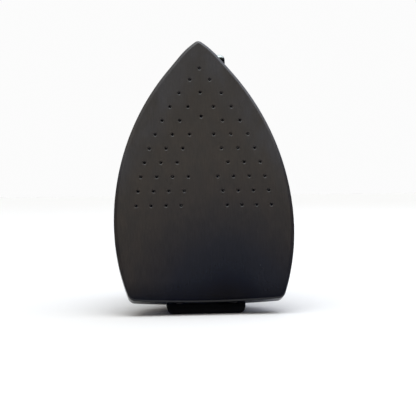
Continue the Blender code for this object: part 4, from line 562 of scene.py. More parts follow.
def combined(bm, operation, others):
    # exact booleans, one after the other
    base = tempObject(bm)
    tools = [tempObject(other) for other in others]
    for tool in tools:
        change = base.modifiers.new("shaping", "BOOLEAN")
        change.object = tool
        change.operation = operation
        change.solver = "EXACT"
    bpy.context.view_layer.update()
    mesh = bpy.data.meshes.new_from_object(base.evaluated_get(bpy.context.evaluated_depsgraph_get()))
    result = bmesh.new()
    result.from_mesh(mesh)
    bpy.data.meshes.remove(mesh)
    discard([base, *tools])
    return result


def cut(bm, *others):
    return combined(bm, "DIFFERENCE", others)


def fuse(bm, *others):
    return combined(bm, "UNION", others)


def addMesh(name, mesh, finish, body, replaced, smoothBelow=32):
    mesh.transform(toStand)
    mesh.materials.clear()
    mesh.materials.append(finishes[finish])
    mesh.shade_smooth()
    mesh.set_sharp_from_angle(angle=math.radians(smoothBelow))
    mesh.name = name
    piece = bpy.data.objects.new(name, mesh)
    bpy.context.collection.objects.link(piece)
    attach(piece, body)
    if replaced:
        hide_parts(*replaced)
    return piece


def addPiece(name, bm, finish, *replaced, body="iron", smoothBelow=32):
    bmesh.ops.remove_doubles(bm, verts=bm.verts, dist=0.0005)
    bmesh.ops.dissolve_degenerate(bm, edges=bm.edges, dist=0.0005)
    bmesh.ops.recalc_face_normals(bm, faces=bm.faces)
    mesh = bpy.data.meshes.new(name)
    bm.to_mesh(mesh)
    bm.free()
    return addMesh(name, mesh, finish, body, replaced, smoothBelow)


# Geometry Nodes helpers
def newTree(name, sizes, objects=()):
    tree = bpy.data.node_groups.new(name, "GeometryNodeTree")
    face = tree.interface
    face.new_socket("Geometry", in_out="INPUT", socket_type="NodeSocketGeometry")
    for word, value in sizes.items():
        face.new_socket(word, in_out="INPUT", socket_type="NodeSocketFloat").default_value = value
    for word in objects:
        face.new_socket(word, in_out="INPUT", socket_type="NodeSocketObject")
    face.new_socket("Material", in_out="INPUT", socket_type="NodeSocketMaterial")
    face.new_socket("Geometry", in_out="OUTPUT", socket_type="NodeSocketGeometry")
    return tree, tree.nodes.new("NodeGroupInput"), tree.nodes.new("NodeGroupOutput")


def moved(tree, shape, height):
    at = addNode(tree, "ShaderNodeCombineXYZ", Z=height)
    return addNode(tree, "GeometryNodeTransform", Geometry=shape, Translation=at.outputs[0]).outputs[0]


def boolean(tree, kind, **meshes):
    fixed = {"operation": kind, "solver": "EXACT"}
    return addNode(tree, "GeometryNodeMeshBoolean", fixed, **meshes).outputs[0]


def boxNode(tree, across, along, high):
    size = addNode(tree, "ShaderNodeCombineXYZ", X=across, Y=along, Z=high)
    return addNode(tree, "GeometryNodeMeshCube", Size=size.outputs[0]).outputs["Mesh"]


def closeTree(tree, source, inputs, result):
    # the last two steps of each tree
    real = addNode(tree, "GeometryNodeRealizeInstances", Geometry=source)
    painted = addNode(tree, "GeometryNodeSetMaterial", Geometry=real.outputs[0],
                      Material=inputs.outputs["Material"])
    tree.links.new(painted.outputs[0], result.inputs["Geometry"])


def runTree(carrier, tree, values):
    # inputs are set by identifier before the first evaluation, and the result is a plain mesh
    change = carrier.modifiers.new(tree.name, "NODES")
    change.node_group = tree
    for item in tree.interface.items_tree:
        if item.in_out == "INPUT" and item.name in values:
            change[item.identifier] = values[item.name]
    bpy.context.view_layer.update()
    shape = carrier.evaluated_get(bpy.context.evaluated_depsgraph_get())
    mesh = bpy.data.meshes.new_from_object(shape)
    discard([carrier])
    return mesh


def pointCarrier(places, axes=()):
    mesh = bpy.data.meshes.new("carrier")
    mesh.from_pydata([tuple(place) for place in places], [], [])
    if axes:
        data = mesh.attributes.new("axis", "FLOAT_VECTOR", "POINT").data
        for entry, axis in zip(data, axes):
            entry.vector = axis
    item = bpy.data.objects.new("carrier", mesh)
    bpy.context.collection.objects.link(item)
    return item


# the sole: coated shoe, its steam holes and the casting that it covers
soleValues = {"length": 210.6, "width": 136.0, "widest": 61.0, "heelWidth": 111.7, "noseEndR": 2.0,
              "bowFromToe": 26.0, "bowR": 64.0, "toeRounding": 4.0, "heelCorner": 6.0, "heelCrown": 1.7,
              "smallestCorner": 1.3, "floor": 2.6, "wall": 2.0, "rim": 11.0, "edge": 3.0, "edgeCorner": 1.2,
              "edgeTilt": 35, "edgeSteps": 5, "rimBreak": 0.4, "heelEdge": 0.4, "heelEdgeOver": (4.0, 34.0)}
holeValues = {"firstRow": 73.9, "rowPitch": 11.4, "spacing": 11.2472, "growth": 0.035, "insetRear": 16.4,
              "insetFront": 18.6, "settledRow": 6, "perSide": (4, 4, 4, 3, 3, 3, 2, 2, 1, 1),
              "centreRows": (6.29, 8.06, 9.84), "bore": 1.0, "sink": 1.75, "sinkDepth": 0.24}
halfWidth = soleValues["width"] / 2
noseRise = soleValues["length"] - soleValues["widest"] - soleValues["noseEndR"]
noseR = ((halfWidth ** 2 + noseRise ** 2 - soleValues["noseEndR"] ** 2)
         / (2 * (halfWidth - soleValues["noseEndR"])))
bowAngle = math.asin((soleValues["length"] - soleValues["bowFromToe"] - soleValues["widest"]) / noseR)
heelNarrowing = halfWidth - soleValues["heelWidth"] / 2
flankR = (heelNarrowing ** 2 + soleValues["widest"] ** 2) / (2 * heelNarrowing)


def bowCentre():
    # the bow arc ends the straight that leaves the nose arc, and meets the toe's rounding
    outward = Vector((math.cos(bowAngle), math.sin(bowAngle)))
    forward = Vector((-outward.y, outward.x))
    base = Vector((halfWidth - noseR, soleValues["widest"])) + outward * (noseR - soleValues["bowR"])
    toe = Vector((0, soleValues["length"] - soleValues["toeRounding"])) - base
    reach = soleValues["bowR"] - soleValues["toeRounding"]
    return base + forward * (toe.dot(forward) - math.sqrt(reach ** 2 - toe.dot(outward) ** 2))


def soleOutline(inset=0.0, steps=(10, 10, 26, 48, 12, 8)):
    # rear crown, rear corner, flank, nose and bow arcs and toe, first on one side and then mirrored
    rearSteps, cornerSteps, flankSteps, noseSteps, bowSteps, toeSteps = steps
    widest, smallest = soleValues["widest"], soleValues["smallestCorner"]
    toe, corner = [max(soleValues[word] - inset, smallest) for word in ("toeRounding", "heelCorner")]
    flankX = halfWidth - flankR
    cornerAlong = inset + soleValues["heelCrown"] + corner
    cornerX = flankX + math.sqrt((flankR - inset - corner) ** 2 - (cornerAlong - widest) ** 2)
    half = [(cornerX * step / rearSteps, inset + soleValues["heelCrown"] * (step / rearSteps) ** 2)
            for step in range(rearSteps)]
    end = math.atan2(cornerAlong - widest, cornerX - flankX)
    half += arc(cornerX, cornerAlong, corner, -quarter, end, cornerSteps)
    half += arc(flankX, widest, flankR - inset, end, 0, flankSteps, 1)
    half += arc(halfWidth - noseR, widest, noseR - inset, 0, bowAngle, noseSteps, 1)
    bow, reach = bowCentre(), soleValues["bowR"] - inset
    toeAlong = bow.y + math.sqrt((reach - toe) ** 2 - bow.x ** 2)
    tangent = math.atan2(toeAlong - bow.y, -bow.x)
    half += arc(bow.x, bow.y, reach, bowAngle, tangent, bowSteps)
    half += arc(0, toeAlong, toe, tangent, quarter, toeSteps, 1)
    half[-1] = (0.0, half[-1][1])
    return half + [(-across, along) for across, along in reversed(half[1:-1])]


def halfWidthAt(along, inset):
    radius = flankR if along < soleValues["widest"] else noseR
    return halfWidth - radius + math.sqrt((radius - inset) ** 2 - (along - soleValues["widest"]) ** 2)


def bodyOutline(inset, rear, front, corner, widthShare=1.0, steps=40):
    # follows the sole between two straight ends with rounded corners
    half = []
    for step in range(steps + 1):
        share = (1 - math.cos(math.pi * step / steps)) / 2
        along = rear + (front - rear) * share
        edge = max(min(along - rear, front - along, corner), 0)
        shy = corner - math.sqrt(corner ** 2 - (corner - edge) ** 2)
        half.append(((halfWidthAt(along, inset) - shy) * widthShare, along))
    return half + [(-across, along) for across, along in reversed(half)]


def steamHolePlaces(values):
    places = []
    for row, count in enumerate(values["perSide"]):
        along = values["firstRow"] + values["rowPitch"] * row
        settled = min(row / values["settledRow"], 1)
        outer = halfWidthAt(along, values["insetRear"] + (values["insetFront"] - values["insetRear"]) * settled)
        spacing = values["spacing"] * (1 + values["growth"] * row)
        for index in range(count):
            places += [spot(side * (outer - spacing * index), along, 0) for side in (1, -1)]
    return places + [spot(0, values["firstRow"] + values["rowPitch"] * row, 0) for row in values["centreRows"]]


def holeTree():
    # instances one countersunk cutter on every point and takes them all from the shoe; the cutter's cone
    # starts below the sole face and the bore's cylinder just inside it
    tree, inputs, result = newTree("steamHoles", {"Bore": 1.0, "Sink": 1.8, "Sink Depth": 0.3, "Floor": 2.6},
                                   ("Shoe",))
    size = inputs.outputs
    below, inside = 0.4, 0.1
    slope = worked(tree, "DIVIDE", worked(tree, "SUBTRACT", size["Sink"], size["Bore"]), size["Sink Depth"])
    mouth = worked(tree, "ADD", size["Sink"], worked(tree, "MULTIPLY", slope, below))
    tip = worked(tree, "SUBTRACT", size["Bore"], worked(tree, "MULTIPLY", slope, inside))
    cone = addNode(tree, "GeometryNodeMeshCone", Vertices=20, Radius_Top=tip, Radius_Bottom=mouth,
                   Depth=worked(tree, "ADD", size["Sink Depth"], below + inside))
    bore = addNode(tree, "GeometryNodeMeshCylinder", Vertices=20, Radius=size["Bore"],
                   Depth=worked(tree, "MULTIPLY", size["Floor"], 2.0))
    cutter = boolean(tree, "UNION", Mesh=[
        moved(tree, cone.outputs["Mesh"], -below),
        moved(tree, bore.outputs["Mesh"], worked(tree, "ADD", size["Floor"], inside))])
    spread = addNode(tree, "GeometryNodeInstanceOnPoints", Points=size["Geometry"], Instance=cutter)
    spread = addNode(tree, "GeometryNodeRealizeInstances", Geometry=spread.outputs[0])
    shoe = addNode(tree, "GeometryNodeObjectInfo", Object=size["Shoe"])
    closeTree(tree, boolean(tree, "DIFFERENCE", Mesh_1=shoe.outputs["Geometry"], Mesh_2=spread.outputs[0]),
              inputs, result)
    return tree


def makeShoe(values, holes):
    edge, corner, steps = values["edge"], values["edgeCorner"], values["edgeSteps"]
    near, far = values["heelEdgeOver"]

    def edgeRing(inset, height):
        # towards the heel the edge gets finer
        ring = []
        for (across, along), (wide, behind) in zip(soleOutline(inset), soleOutline(inset * values["heelEdge"])):
            share = min(max((far - along) / (far - near), 0), 1)
            share = share * share * (3 - 2 * share)
            ring.append(spot(across + (wide - across) * share, along + (behind - along) * share,
                             height * (1 - (1 - values["heelEdge"]) * share)))
        return ring

    tilt = math.radians(values["edgeTilt"])
    shoulder = corner + (edge - corner) * math.tan(tilt)
    rings = [flatRing(soleOutline(edge + 0.6), 0)]
    for step in range(steps + 1):
        angle = tilt * step / steps
        rings.append(edgeRing(edge - corner * math.sin(angle), corner * (1 - math.cos(angle))))
    for step in range(steps + 1):
        angle = tilt + (quarter - tilt) * step / steps
        rings.append(edgeRing(corner * (1 - math.sin(angle)), shoulder - corner * math.cos(angle)))
    for inset, height in ((0, shoulder + 0.5), (0, values["rim"] - values["rimBreak"]),
                          (values["rimBreak"] / 2, values["rim"]), (values["wall"] - 0.2, values["rim"]),
                          (values["wall"], values["rim"] - 0.3), (values["wall"], values["floor"])):
        rings.append(flatRing(soleOutline(inset), height))
    seats = holesAt(shoeScrewPlaces(1.418), toHeel, countersunk(joinValues["screwBore"], 2.3, 3.5, 2.2))
    shell = tempObject(cut(lofted(rings), drillShape(seats, 40)))
    mesh = runTree(pointCarrier(steamHolePlaces(holes)), holeTree(),
                   {"Bore": holes["bore"], "Sink": holes["sink"], "Sink Depth": holes["sinkDepth"],
                    "Floor": values["floor"], "Shoe": shell, "Material": finishes["coating"]})
    discard([shell])
    addMesh("soleShoe", mesh, "coating", "iron", ["ptfe_shoe"], 13)


castValues = {"bottom": 2.9, "top": 20.0, "inset": 2.3, "shoulder": 3.0, "shoulderDrop": 2.5, "bossR": 7.0,
              "bossTop": 29.0, "spread": (10, 65.9, 174.676, 8), "spreadTop": 4.1, "chamberFloor": 7.0,
              "chamberRear": 60.0, "chamberFront": 126.0, "chamberHalf": 22.0, "grooveHalf": 3.7,
              "elementHigh": 16.0, "elementHalf": 30.0, "elementRear": 46.0, "elementArc": 108.0,
              "portSide": 13, "portShares": (0.303, 0.545, 0.788), "portR": 1.75, "gallery": (8.5, 2.0, 66)}


def grooveOutline(values):
    half, groove = values["elementHalf"], values["grooveHalf"]
    rear, around = values["elementRear"] - groove, values["elementArc"]
    outer, inner = half + groove, half - groove
    far, near = [arc(0, around, reach, 0, math.pi, 40) for reach in (outer, inner)]
    return [(outer, rear)] + far + [(-outer, rear), (-inner, rear)] + near[::-1] + [(inner, rear)]


def makeCasting(values):
    # rounded shoulder, bosses, steam chamber, element groove, ports and threads
    low, top, inset = values["bottom"], values["top"], values["inset"]
    shoulder, drop = values["shoulder"], values["shoulderDrop"]
    levels = [(inset + 0.5, low), (inset, low + 0.5), (inset, top - drop - 0.6)]
    for step in range(9):
        angle = quarter * step / 8
        levels.append((inset + shoulder * (1 - math.cos(angle)), top - drop * (1 - math.sin(angle))))
    levels.append((inset + shoulder + 0.8, top))
    casting = lofted([flatRing(soleOutline(inwards), height) for inwards, height in levels])
    reach, tall, chamfer = values["bossR"], values["bossTop"] - top, 0.6
    profile = (0, -2), (reach, -2), (reach, tall - chamfer), (reach - chamfer, tall), (0, tall)
    for along in joinValues["studs"]:
        casting = fuse(casting, turnedShape(profile, spot(0, along, top)))
    chamber = boxOutline(-values["chamberHalf"], values["chamberHalf"], values["chamberRear"],
                         values["chamberFront"], 8)
    casting = cut(casting, slab(bodyOutline(*values["spread"]), 0, values["spreadTop"]),
                  slab(chamber, values["chamberFloor"], top + 1),
                  slab(grooveOutline(values), values["elementHigh"] - values["grooveHalf"], top + 1))
    thread, past = joinValues["screwBore"], top + 1
    ports = [spot(values["portSide"] * column, values["chamberRear"] + 66 * share, 0)
             for column in (-1, 0, 1) for share in values["portShares"]]
    holes = holesAt(studPlaces, up, straight(joinValues["studBore"], 10.7, 30))
    holes += holesAt([spot(*joinValues["valve"], 0)], up, straight(joinValues["studBore"], 6.5, past))
    holes += holesAt(ports, up, straight(values["portR"], 2.9, 8))
    holes += holesAt(plateScrewPlaces(0), up, straight(thread, 15.4, past))
    holes += holesAt(bracketScrewPlaces(0), up, straight(thread, 14.3, past))
    holes += holesAt(shoeScrewPlaces(0), toToe, straight(thread, 0, 10.42))
    height, reach, length = values["gallery"]
    gallery = [spot(joinValues["valve"][0], values["chamberFront"], height)]
    gallery = drillShape(holesAt(gallery, toToe, straight(reach, -1, length)))
    casting = cut(casting, drillShape(holes), gallery)
    addPiece("soleCasting", casting, "cast_aluminium", "soleplate_casting")


makeShoe(soleValues, holeValues)
makeCasting(castValues)
print("sole made, steam holes:", len(steamHolePlaces(holeValues)))

# the black cover over the casting, with a shallow line above its lip
coverValues = {"bottom": 24.0, "top": 50.0, "rear": 17.0, "front": 170.0, "inset": 9.0, "wall": 2.5,
               "corner": 10.0,
               "heightShares": (0.0, 0.34, 0.64, 0.86, 1.0), "widthShares": (1.0, 0.975, 0.88, 0.76, 0.68),
               "bossR": 6.5, "dialHole": (94, 3.3), "topEdge": 1.6, "line": 0.35}


def shareAt(values, tall):
    # smooth width share between the given heights
    heights, widths = values["heightShares"], values["widthShares"]
    index = max(i for i in range(len(heights) - 1) if heights[i] <= tall)
    low, high = heights[index], heights[index + 1]
    part = (tall - low) / (high - low)
    slopes = []
    for i in (index, index + 1):
        before, after = max(i - 1, 0), min(i + 1, len(heights) - 1)
        slopes.append((widths[after] - widths[before]) / (heights[after] - heights[before]) * (high - low))
    square, cube = part ** 2, part ** 3
    return (widths[index] * (2 * cube - 3 * square + 1) + slopes[0] * (cube - 2 * square + part)
            + widths[index + 1] * (3 * square - 2 * cube) + slopes[1] * (cube - square))


def makeCover(values):
    low, rise, wall = values["bottom"], values["top"] - values["bottom"], values["wall"]

    def outerRing(height, extra=0.0):
        outline = bodyOutline(values["inset"] + extra, values["rear"] + extra, values["front"] - extra,
                              values["corner"] - extra, shareAt(values, (height - low) / rise))
        return flatRing(outline, height)

    def innerRing(tall):
        outline = bodyOutline(values["inset"] + wall, values["rear"] + wall, values["front"] - wall,
                              values["corner"] - wall, shareAt(values, tall))
        return flatRing(outline, low + (rise - wall) * tall)

    rings = [innerRing(step / 10) for step in range(10, -1, -1)]
    rings += [outerRing(low, 0.5), outerRing(low + 0.15, 0.15), outerRing(low + 0.5)]
    rings += [outerRing(low + 3.2), outerRing(low + 3.3, 0.1), outerRing(low + 3.5, values["line"]),
              outerRing(low + 4.0, values["line"]), outerRing(low + 4.2, 0.1), outerRing(low + 4.3)]
    edge = values["topEdge"]
    last = rise - edge
    rings += [outerRing(low + 4.3 + (last - 4.3) * step / 16) for step in range(1, 17)]
    for step in range(1, 7):
        angle = quarter * step / 6
        rings.append(outerRing(low + last + edge * math.sin(angle), edge * (1 - math.cos(angle))))
    rings.append(outerRing(values["top"], edge + 0.6))
    cover = lofted(rings)
    bosses = merged([rodShape(place, up, values["bossR"], 31.1, 48.75) for place in studPlaces])
    holes = holesAt(studPlaces, up, straight(joinValues["studBore"], 30, 51))
    wireAlong, wireR = joinValues["wireHole"]
    holes += [(spot(0, values["dialHole"][0], 0), up, straight(values["dialHole"][1], 46, 51)),
              (spot(0, wireAlong, 0), up, straight(wireR, 46, 51))]
    cover = cut(fuse(cover, bosses), drillShape(holes))
    addPiece("baseCover", cover, "black_plastic", "base_cover")


makeCover(coverValues)
print("base cover made")

# the arched handle in two shells
handleValues = {"half": 17.0, "wall": 3.0, "sideWall": 4.0, "edge": 7.0, "edgeSteps": 8, "gripTop": 126.0,
                "gripMiddle": 91.75, "gripReach": 58.75, "gripDrop": 4.5, "base": 50.3, "seam": 0.15,
                "pivot": (136.5, 101.0), "bossR": 4.5, "screws": ((30, 76), (78, 108), (158, 74)),
                "screwSink": 3.0, "lensAlong": 144.0, "lensSunk": 1.2, "glandAlong": 55.0, "glandSunk": 6.0}
padBounds = (84, 106)  # heights of the handle's rear face that carries the rubber foot


def handleProfile():
    # rear foot line, grip top, front brow and belly, then the arch's inner side
    standOff = 3.3 / math.cos(lean)
    low, high = [floorAlong(height) + standOff for height in padBounds]
    return rounded(((17.5, 50.3, 0), (low, padBounds[0], 0), (high, padBounds[1], 10), (high + 5, 121.5, 15),
                    (91.75, 126, 90), (150.5, 121.5, 15), (171.5, 104, 15), (171.5, 76, 30), (166, 50.3, 0),
                    (138, 50.3, 0), (141.5, 92, 16), (56, 92, 20), (46, 50.3, 0)))


def gripTopAt(along):
    away = abs(along - handleValues["gripMiddle"]) / handleValues["gripReach"]
    return handleValues["gripTop"] - handleValues["gripDrop"] * away


def makeHandleShell(word, side, values):
    profile = handleProfile()
    half, seam, base = values["half"], values["seam"], values["base"]
    shell = sideSlab(profile, seam * side, half * side)

    def rimEdge(first, second):
        outside = min(first.x * side, second.x * side) > half - 0.1
        return outside and max(first.z, second.z) > base + 0.2

    def seamEdge(first, second):
        inside = max(first.x * side, second.x * side) < seam + 0.1
        return inside and max(first.z, second.z) > base + 0.2

    shell = softened(shell, values["edge"], values["edgeSteps"], chosen=rimEdge)
    shell = softened(shell, 0.35, 1, chosen=seamEdge)
    shell = cut(shell, sideSlab(inward(profile, values["wall"]), -side, (half - values["sideWall"]) * side))
    outward = left * side
    embed = half - values["sideWall"] + 0.5
    pivot = spot(0, *values["pivot"])
    bosses = [rodShape(pivot, outward, values["bossR"], 5.3, embed),
              rodShape(spot(0, 120, 110.5), outward, 4.2, 3.5, embed)]
    bosses += [rodShape(spot(0, *place), outward, values["bossR"], seam, embed) for place in values["screws"]]
    shell = fuse(shell, merged(bosses))
    seat, bore = half - values["screwSink"], joinValues["screwBore"]
    hole = straight(bore, -1, 9.3)
    if side < 0:
        hole = straight(bore, -1, seat) + ((3.5, seat), (3.5, half - 0.4), (3.9, half), (3.9, half + 1))
    holes = [(pivot, outward, straight(1.8, 0, 9.3))]
    holes += [(spot(0, *place), outward, hole) for place in values["screws"]]
    slot = sideSlab(boxOutline(103.5, 142.1, 89, 95.5), -side, 6 * side)
    lensSeat = gripTopAt(values["lensAlong"]) - values["lensSunk"]
    glandSeat = values["gripTop"] - values["glandSunk"]
    ways = [(spot(0, along, base), up, straight(radius, -1, 4)) for along, radius in
            [(along, joinValues["studBore"]) for along in joinValues["studs"]] + [joinValues["wireHole"]]]
    ways += [(spot(0, values["lensAlong"], lensSeat), up, countersunk(4.3, 7, 5.8, 4)),
             (spot(0, values["glandAlong"], glandSeat), up, countersunk(6.3, 7, 9.3, 9))]
    shell = cut(shell, slot, drillShape(holes, 40), drillShape(ways, 56))
    addPiece("handleShell" + word, shell, "black_plastic", "handle_shell_" + word.lower())


makeHandleShell("Left", 1, handleValues)
makeHandleShell("Right", -1, handleValues)
print("handle made")


# heel rest, its bracket and the rubber pad: what the standing iron rests on
heelValues = {"half": 29.3, "low": 12.0, "top": 54.0, "step": 20.3, "front": 1.8, "face": 14.4, "round": 5.0,
              "roundSteps": 8, "edge": 0.5, "bore": 2.3, "headBore": 3.9, "headSeat": 8.4, "bracketHalf": 24.0,
              "bracketFront": 36.2, "bracketTop": 48.0, "plate": 2.0, "studWay": (27, 7.3)}


def makeHeel(values):
    low, top, step, face = values["low"], values["top"], values["step"], values["face"]
    foot = ((floorAlong(low), low), (values["front"], low), (values["front"], step), (face, step), (face, top),
            (floorAlong(top), top))
    heel = sideSlab(foot, -values["half"], values["half"])

    def cornerEdge(first, second):
        off = [abs(-point.y - floorAlong(point.z)) for point in (first, second)]
        return max(off) < 0.15 and abs(first.x - second.x) < 0.15

    heel = softened(heel, values["round"], values["roundSteps"], chosen=cornerEdge)
    # the screw holes are cut before the small rounding, which would cross itself in them
    profile = countersunk(values["bore"], 7, values["headBore"], 30)
    heel = cut(heel, drillShape(holesAt(heelScrewPlaces(values["headSeat"]), toHeel, profile), 40))
    addPiece("heelRest", softened(heel, values["edge"], 2, 50), "heel_plastic", "heel_rest")
    rear, inner, over = face + gap, face + gap + values["plate"], step + values["plate"]
    profile = rounded(((rear, step, 3), (values["bracketFront"], step, 0), (values["bracketFront"], over, 0),
                       (inner, over, 1), (inner, values["bracketTop"], 0), (rear, values["bracketTop"], 0)), 6)
    bracket = softened(sideSlab(profile, -values["bracketHalf"], values["bracketHalf"]), 0.25, 1, 60)
    along, reach = values["studWay"]
    holes = [(spot(0, along, step), up, straight(reach, -1, 3))]
    holes += holesAt(bracketScrewPlaces(22.6), up, straight(joinValues["screwBore"], -3, 1))
    holes += holesAt(heelScrewPlaces(rear), toToe, straight(values["bore"], -1, 3))
    addPiece("heelBracket", cut(bracket, drillShape(holes, 40)), "plate_steel", "heel_bracket")


padValues = {"margin": 2.0, "thick": 3.0, "half": 12.0, "grooves": 6, "grooveDepth": 0.7, "grooveWidth": 0.9}


def makePad(values):
    # grooves run across the pad where it meets the table
    along = Vector((math.sin(lean), math.cos(lean)))
    out = Vector((math.cos(lean), -math.sin(lean)))
    low, high = padBounds
    start = Vector((floorAlong(low), low)) + along * values["margin"]
    length = (Vector((floorAlong(high), high)) - along * (values["margin"] + 5) - start).length
    pitch = length / values["grooves"]
    face = [start]
    for number in range(values["grooves"]):
        middle = start + along * pitch * (number + 0.5)
        wide, deep = along * values["grooveWidth"] / 2, out * values["grooveDepth"]
        face += [middle - wide, middle - wide * 0.7 + deep, middle + wide * 0.7 + deep, middle + wide]
    end, thick = start + along * length, out * values["thick"]
    face += [end, end + thick, start + thick]
    pad = sideSlab([tuple(point) for point in face], -values["half"], values["half"])
    addPiece("footPad", softened(pad, 0.25, 2, 60), "rubber", "rear_foot_pad")


makeHeel(heelValues)
makePad(padValues)
print("heel rest and pad made")


# steam trigger, switch and pilot light
triggerValues = {"lip": (106.5, 86), "nose": (136.5, 92), "pivot": (136.5, 101), "half": 5.0, "edge": 0.9,
                 "grooves": 5, "firstGroove": 9.0, "groovePitch": 3.2, "grooveR": 0.75, "grooveOut": 0.35,
                 "pinR": 1.5, "pinBore": 1.8, "pinHalf": 9.0, "switch": (110, 130, 106, 115), "switchHalf": 3.2,
                 "button": (126.5, 106), "buttonR": 1.2, "buttonBore": 1.5}
lampValues = {"lensR": 4.6, "domeLow": 1.1, "domeTall": 1.7, "flangeR": 5.5, "bulbR": 2.4, "bulbHigh": -5.2}


def makeTrigger(values):
    lip, nose, half = Vector(values["lip"]), Vector(values["nose"]), values["half"]
    pivot, button = spot(0, *values["pivot"]), spot(0, *values["button"])
    corners = ((*lip, 5), (*nose, 10), (141.1, 96.4, 5), (141.1, 105.6, 5), (131.9, 105.6, 5),
               (128.1, 103.3, 0), (124.9, 103.3, 0), (124.9, 97.5, 0), (lip.x, 97.5, 1.6))
    trigger = softened(sideSlab(rounded(corners), -half, half), values["edge"], 3, 50)
    grooves = []
    for number in range(values["grooves"]):
        place = lip + (nose - lip).normalized() * (values["firstGroove"] + values["groovePitch"] * number)
        grooves.append(rodShape(spot(0, place.x, place.y - values["grooveOut"]), left, values["grooveR"],
                                -half - 2, half + 2, 16))
    trigger = cut(trigger, merged(grooves), rodShape(pivot, left, values["pinBore"], -half - 1, half + 1))
    addPiece("steamTrigger", trigger, "trigger_plastic", "steam_trigger", body="trigger")
    pin = turnedShape(pinProfile(values["pinR"], -values["pinHalf"], values["pinHalf"]), pivot, left, 32)
    addPiece("triggerPin", pin, "screw_steel", "trigger_pin")
    switch = sideSlab(boxOutline(*values["switch"]), -values["switchHalf"], values["switchHalf"])
    buttonWay = drillShape([(button, up, straight(values["buttonBore"], -1, 3.8))])
    switch = cut(softened(switch, 0.3, 2, 60), buttonWay)
    addPiece("switchBody", switch, "black_plastic", "microswitch_body")
    reach = values["buttonR"]
    cap = ((0, -2.4), (reach - 0.4, -2.3), (reach, -1.9), (reach, 2.2), (0, 2.2))
    addPiece("switchButton", turnedShape(cap, button, up, 24), "trigger_plastic", "microswitch_button",
             body="button")


def makePilotLight(values):
    along, reach, edge = handleValues["lensAlong"], values["bulbR"], values["flangeR"]
    at = spot(0, along, gripTopAt(along) - handleValues["lensSunk"] + gap)
    dome = arc(0, values["domeLow"], values["lensR"], 0, quarter, 8, tall=values["domeTall"])[:-1]
    profile = [(0, -2.5), (2.7, -2.5), (2.7, -7), (4, -7), (4, 0), (edge, 0), (edge, 0.9), (edge - 0.3, 1.2),
               *dome, (0, values["domeLow"] + values["domeTall"])]
    addPiece("pilotLens", turnedShape(profile, at), "lens", "pilot_lens")
    bulb = arc(0, values["bulbHigh"], reach, 0, quarter, 6)[:-1]
    profile = [(0, -15.8), (reach - 0.3, -15.8), (reach, -15.5), *bulb, (0, values["bulbHigh"] + reach)]
    addPiece("pilotLamp", turnedShape(profile, at, sides=24), "lamp_glass", "pilot_lamp")


makeTrigger(triggerValues)
makePilotLight(lampValues)
print("trigger and pilot light made")


# cord gland
glandValues = {"along": 55, "seat": 120.3, "bore": 4.6, "stemR": 6.0, "flangeR": 9.0, "flangeTop": 3.0,
               "nutLow": 7.5, "nutShoulder": 12.3, "nutTop": 14.5, "ribs": 18, "rib": 0.45}


def makeGland(values):
    at = spot(0, values["along"], values["seat"])
    bore, stem, edge, high = values["bore"], values["stemR"], values["flangeR"], values["flangeTop"]
    body = ((bore, -7), (stem - 0.3, -7), (stem, -6.7), (stem, 0), (edge - 0.4, 0), (edge, 0.4),
            (edge, high - 0.5), (edge - 0.5, high), (stem, high), (stem, 12), (bore + 0.3, 12), (bore, 11.7))
    addPiece("glandBody", turnedShape(body, at, closed=True), "black_plastic", "gland_body")

    def ribbed(radius, angle, height):
        wave = (0.5 + 0.5 * math.cos(values["ribs"] * angle)) ** 2
        return radius - values["rib"] * wave if radius > 8.4 else radius

    low, shoulder, top = values["nutLow"], values["nutShoulder"], values["nutTop"]
    nut = [(stem + gap, low), (edge - 0.5, low), (edge, low + 0.5), (edge, shoulder)]
    nut += arc(6.2, shoulder, edge - 6.2, 0, quarter, 6, 1, top - shoulder)
    nut += [(bore + 0.3, top), (bore, top - 0.3), (bore, shoulder), (stem + gap, shoulder)]
    addPiece("glandNut", turnedShape(nut, at, sides=144, closed=True, reachAt=ribbed), "black_plastic",
             "gland_nut")


makeGland(glandValues)
print("cord gland made")


# the steam valve beside the toe: body, core, coil and inlet, with the needle that sets the steam
valveValues = {"sides": (1.6, 23), "ends": (185.5, 209.3), "heights": (22.2, 38.2), "corner": 4, "rim": 3.8,
               "edge": 0.7, "portHeight": 30.2, "portR": 3.3, "inletAcross": 18.2, "inletTurn": 30,
               "inletR": 2.7, "plungerR": 3.9, "plungerEnds": (27.5, 53.5), "needle": (1.3, 200, 30.2),
               "coilSides": (-3, 22), "coilEnds": (178.5, 203.5), "coilHeights": (42.7, 64.7), "coilBore": 5.4,
               "yokeSides": (-0.5, 19.5), "barbs": 3, "barbLength": 10, "flutes": 10, "flute": 0.6}


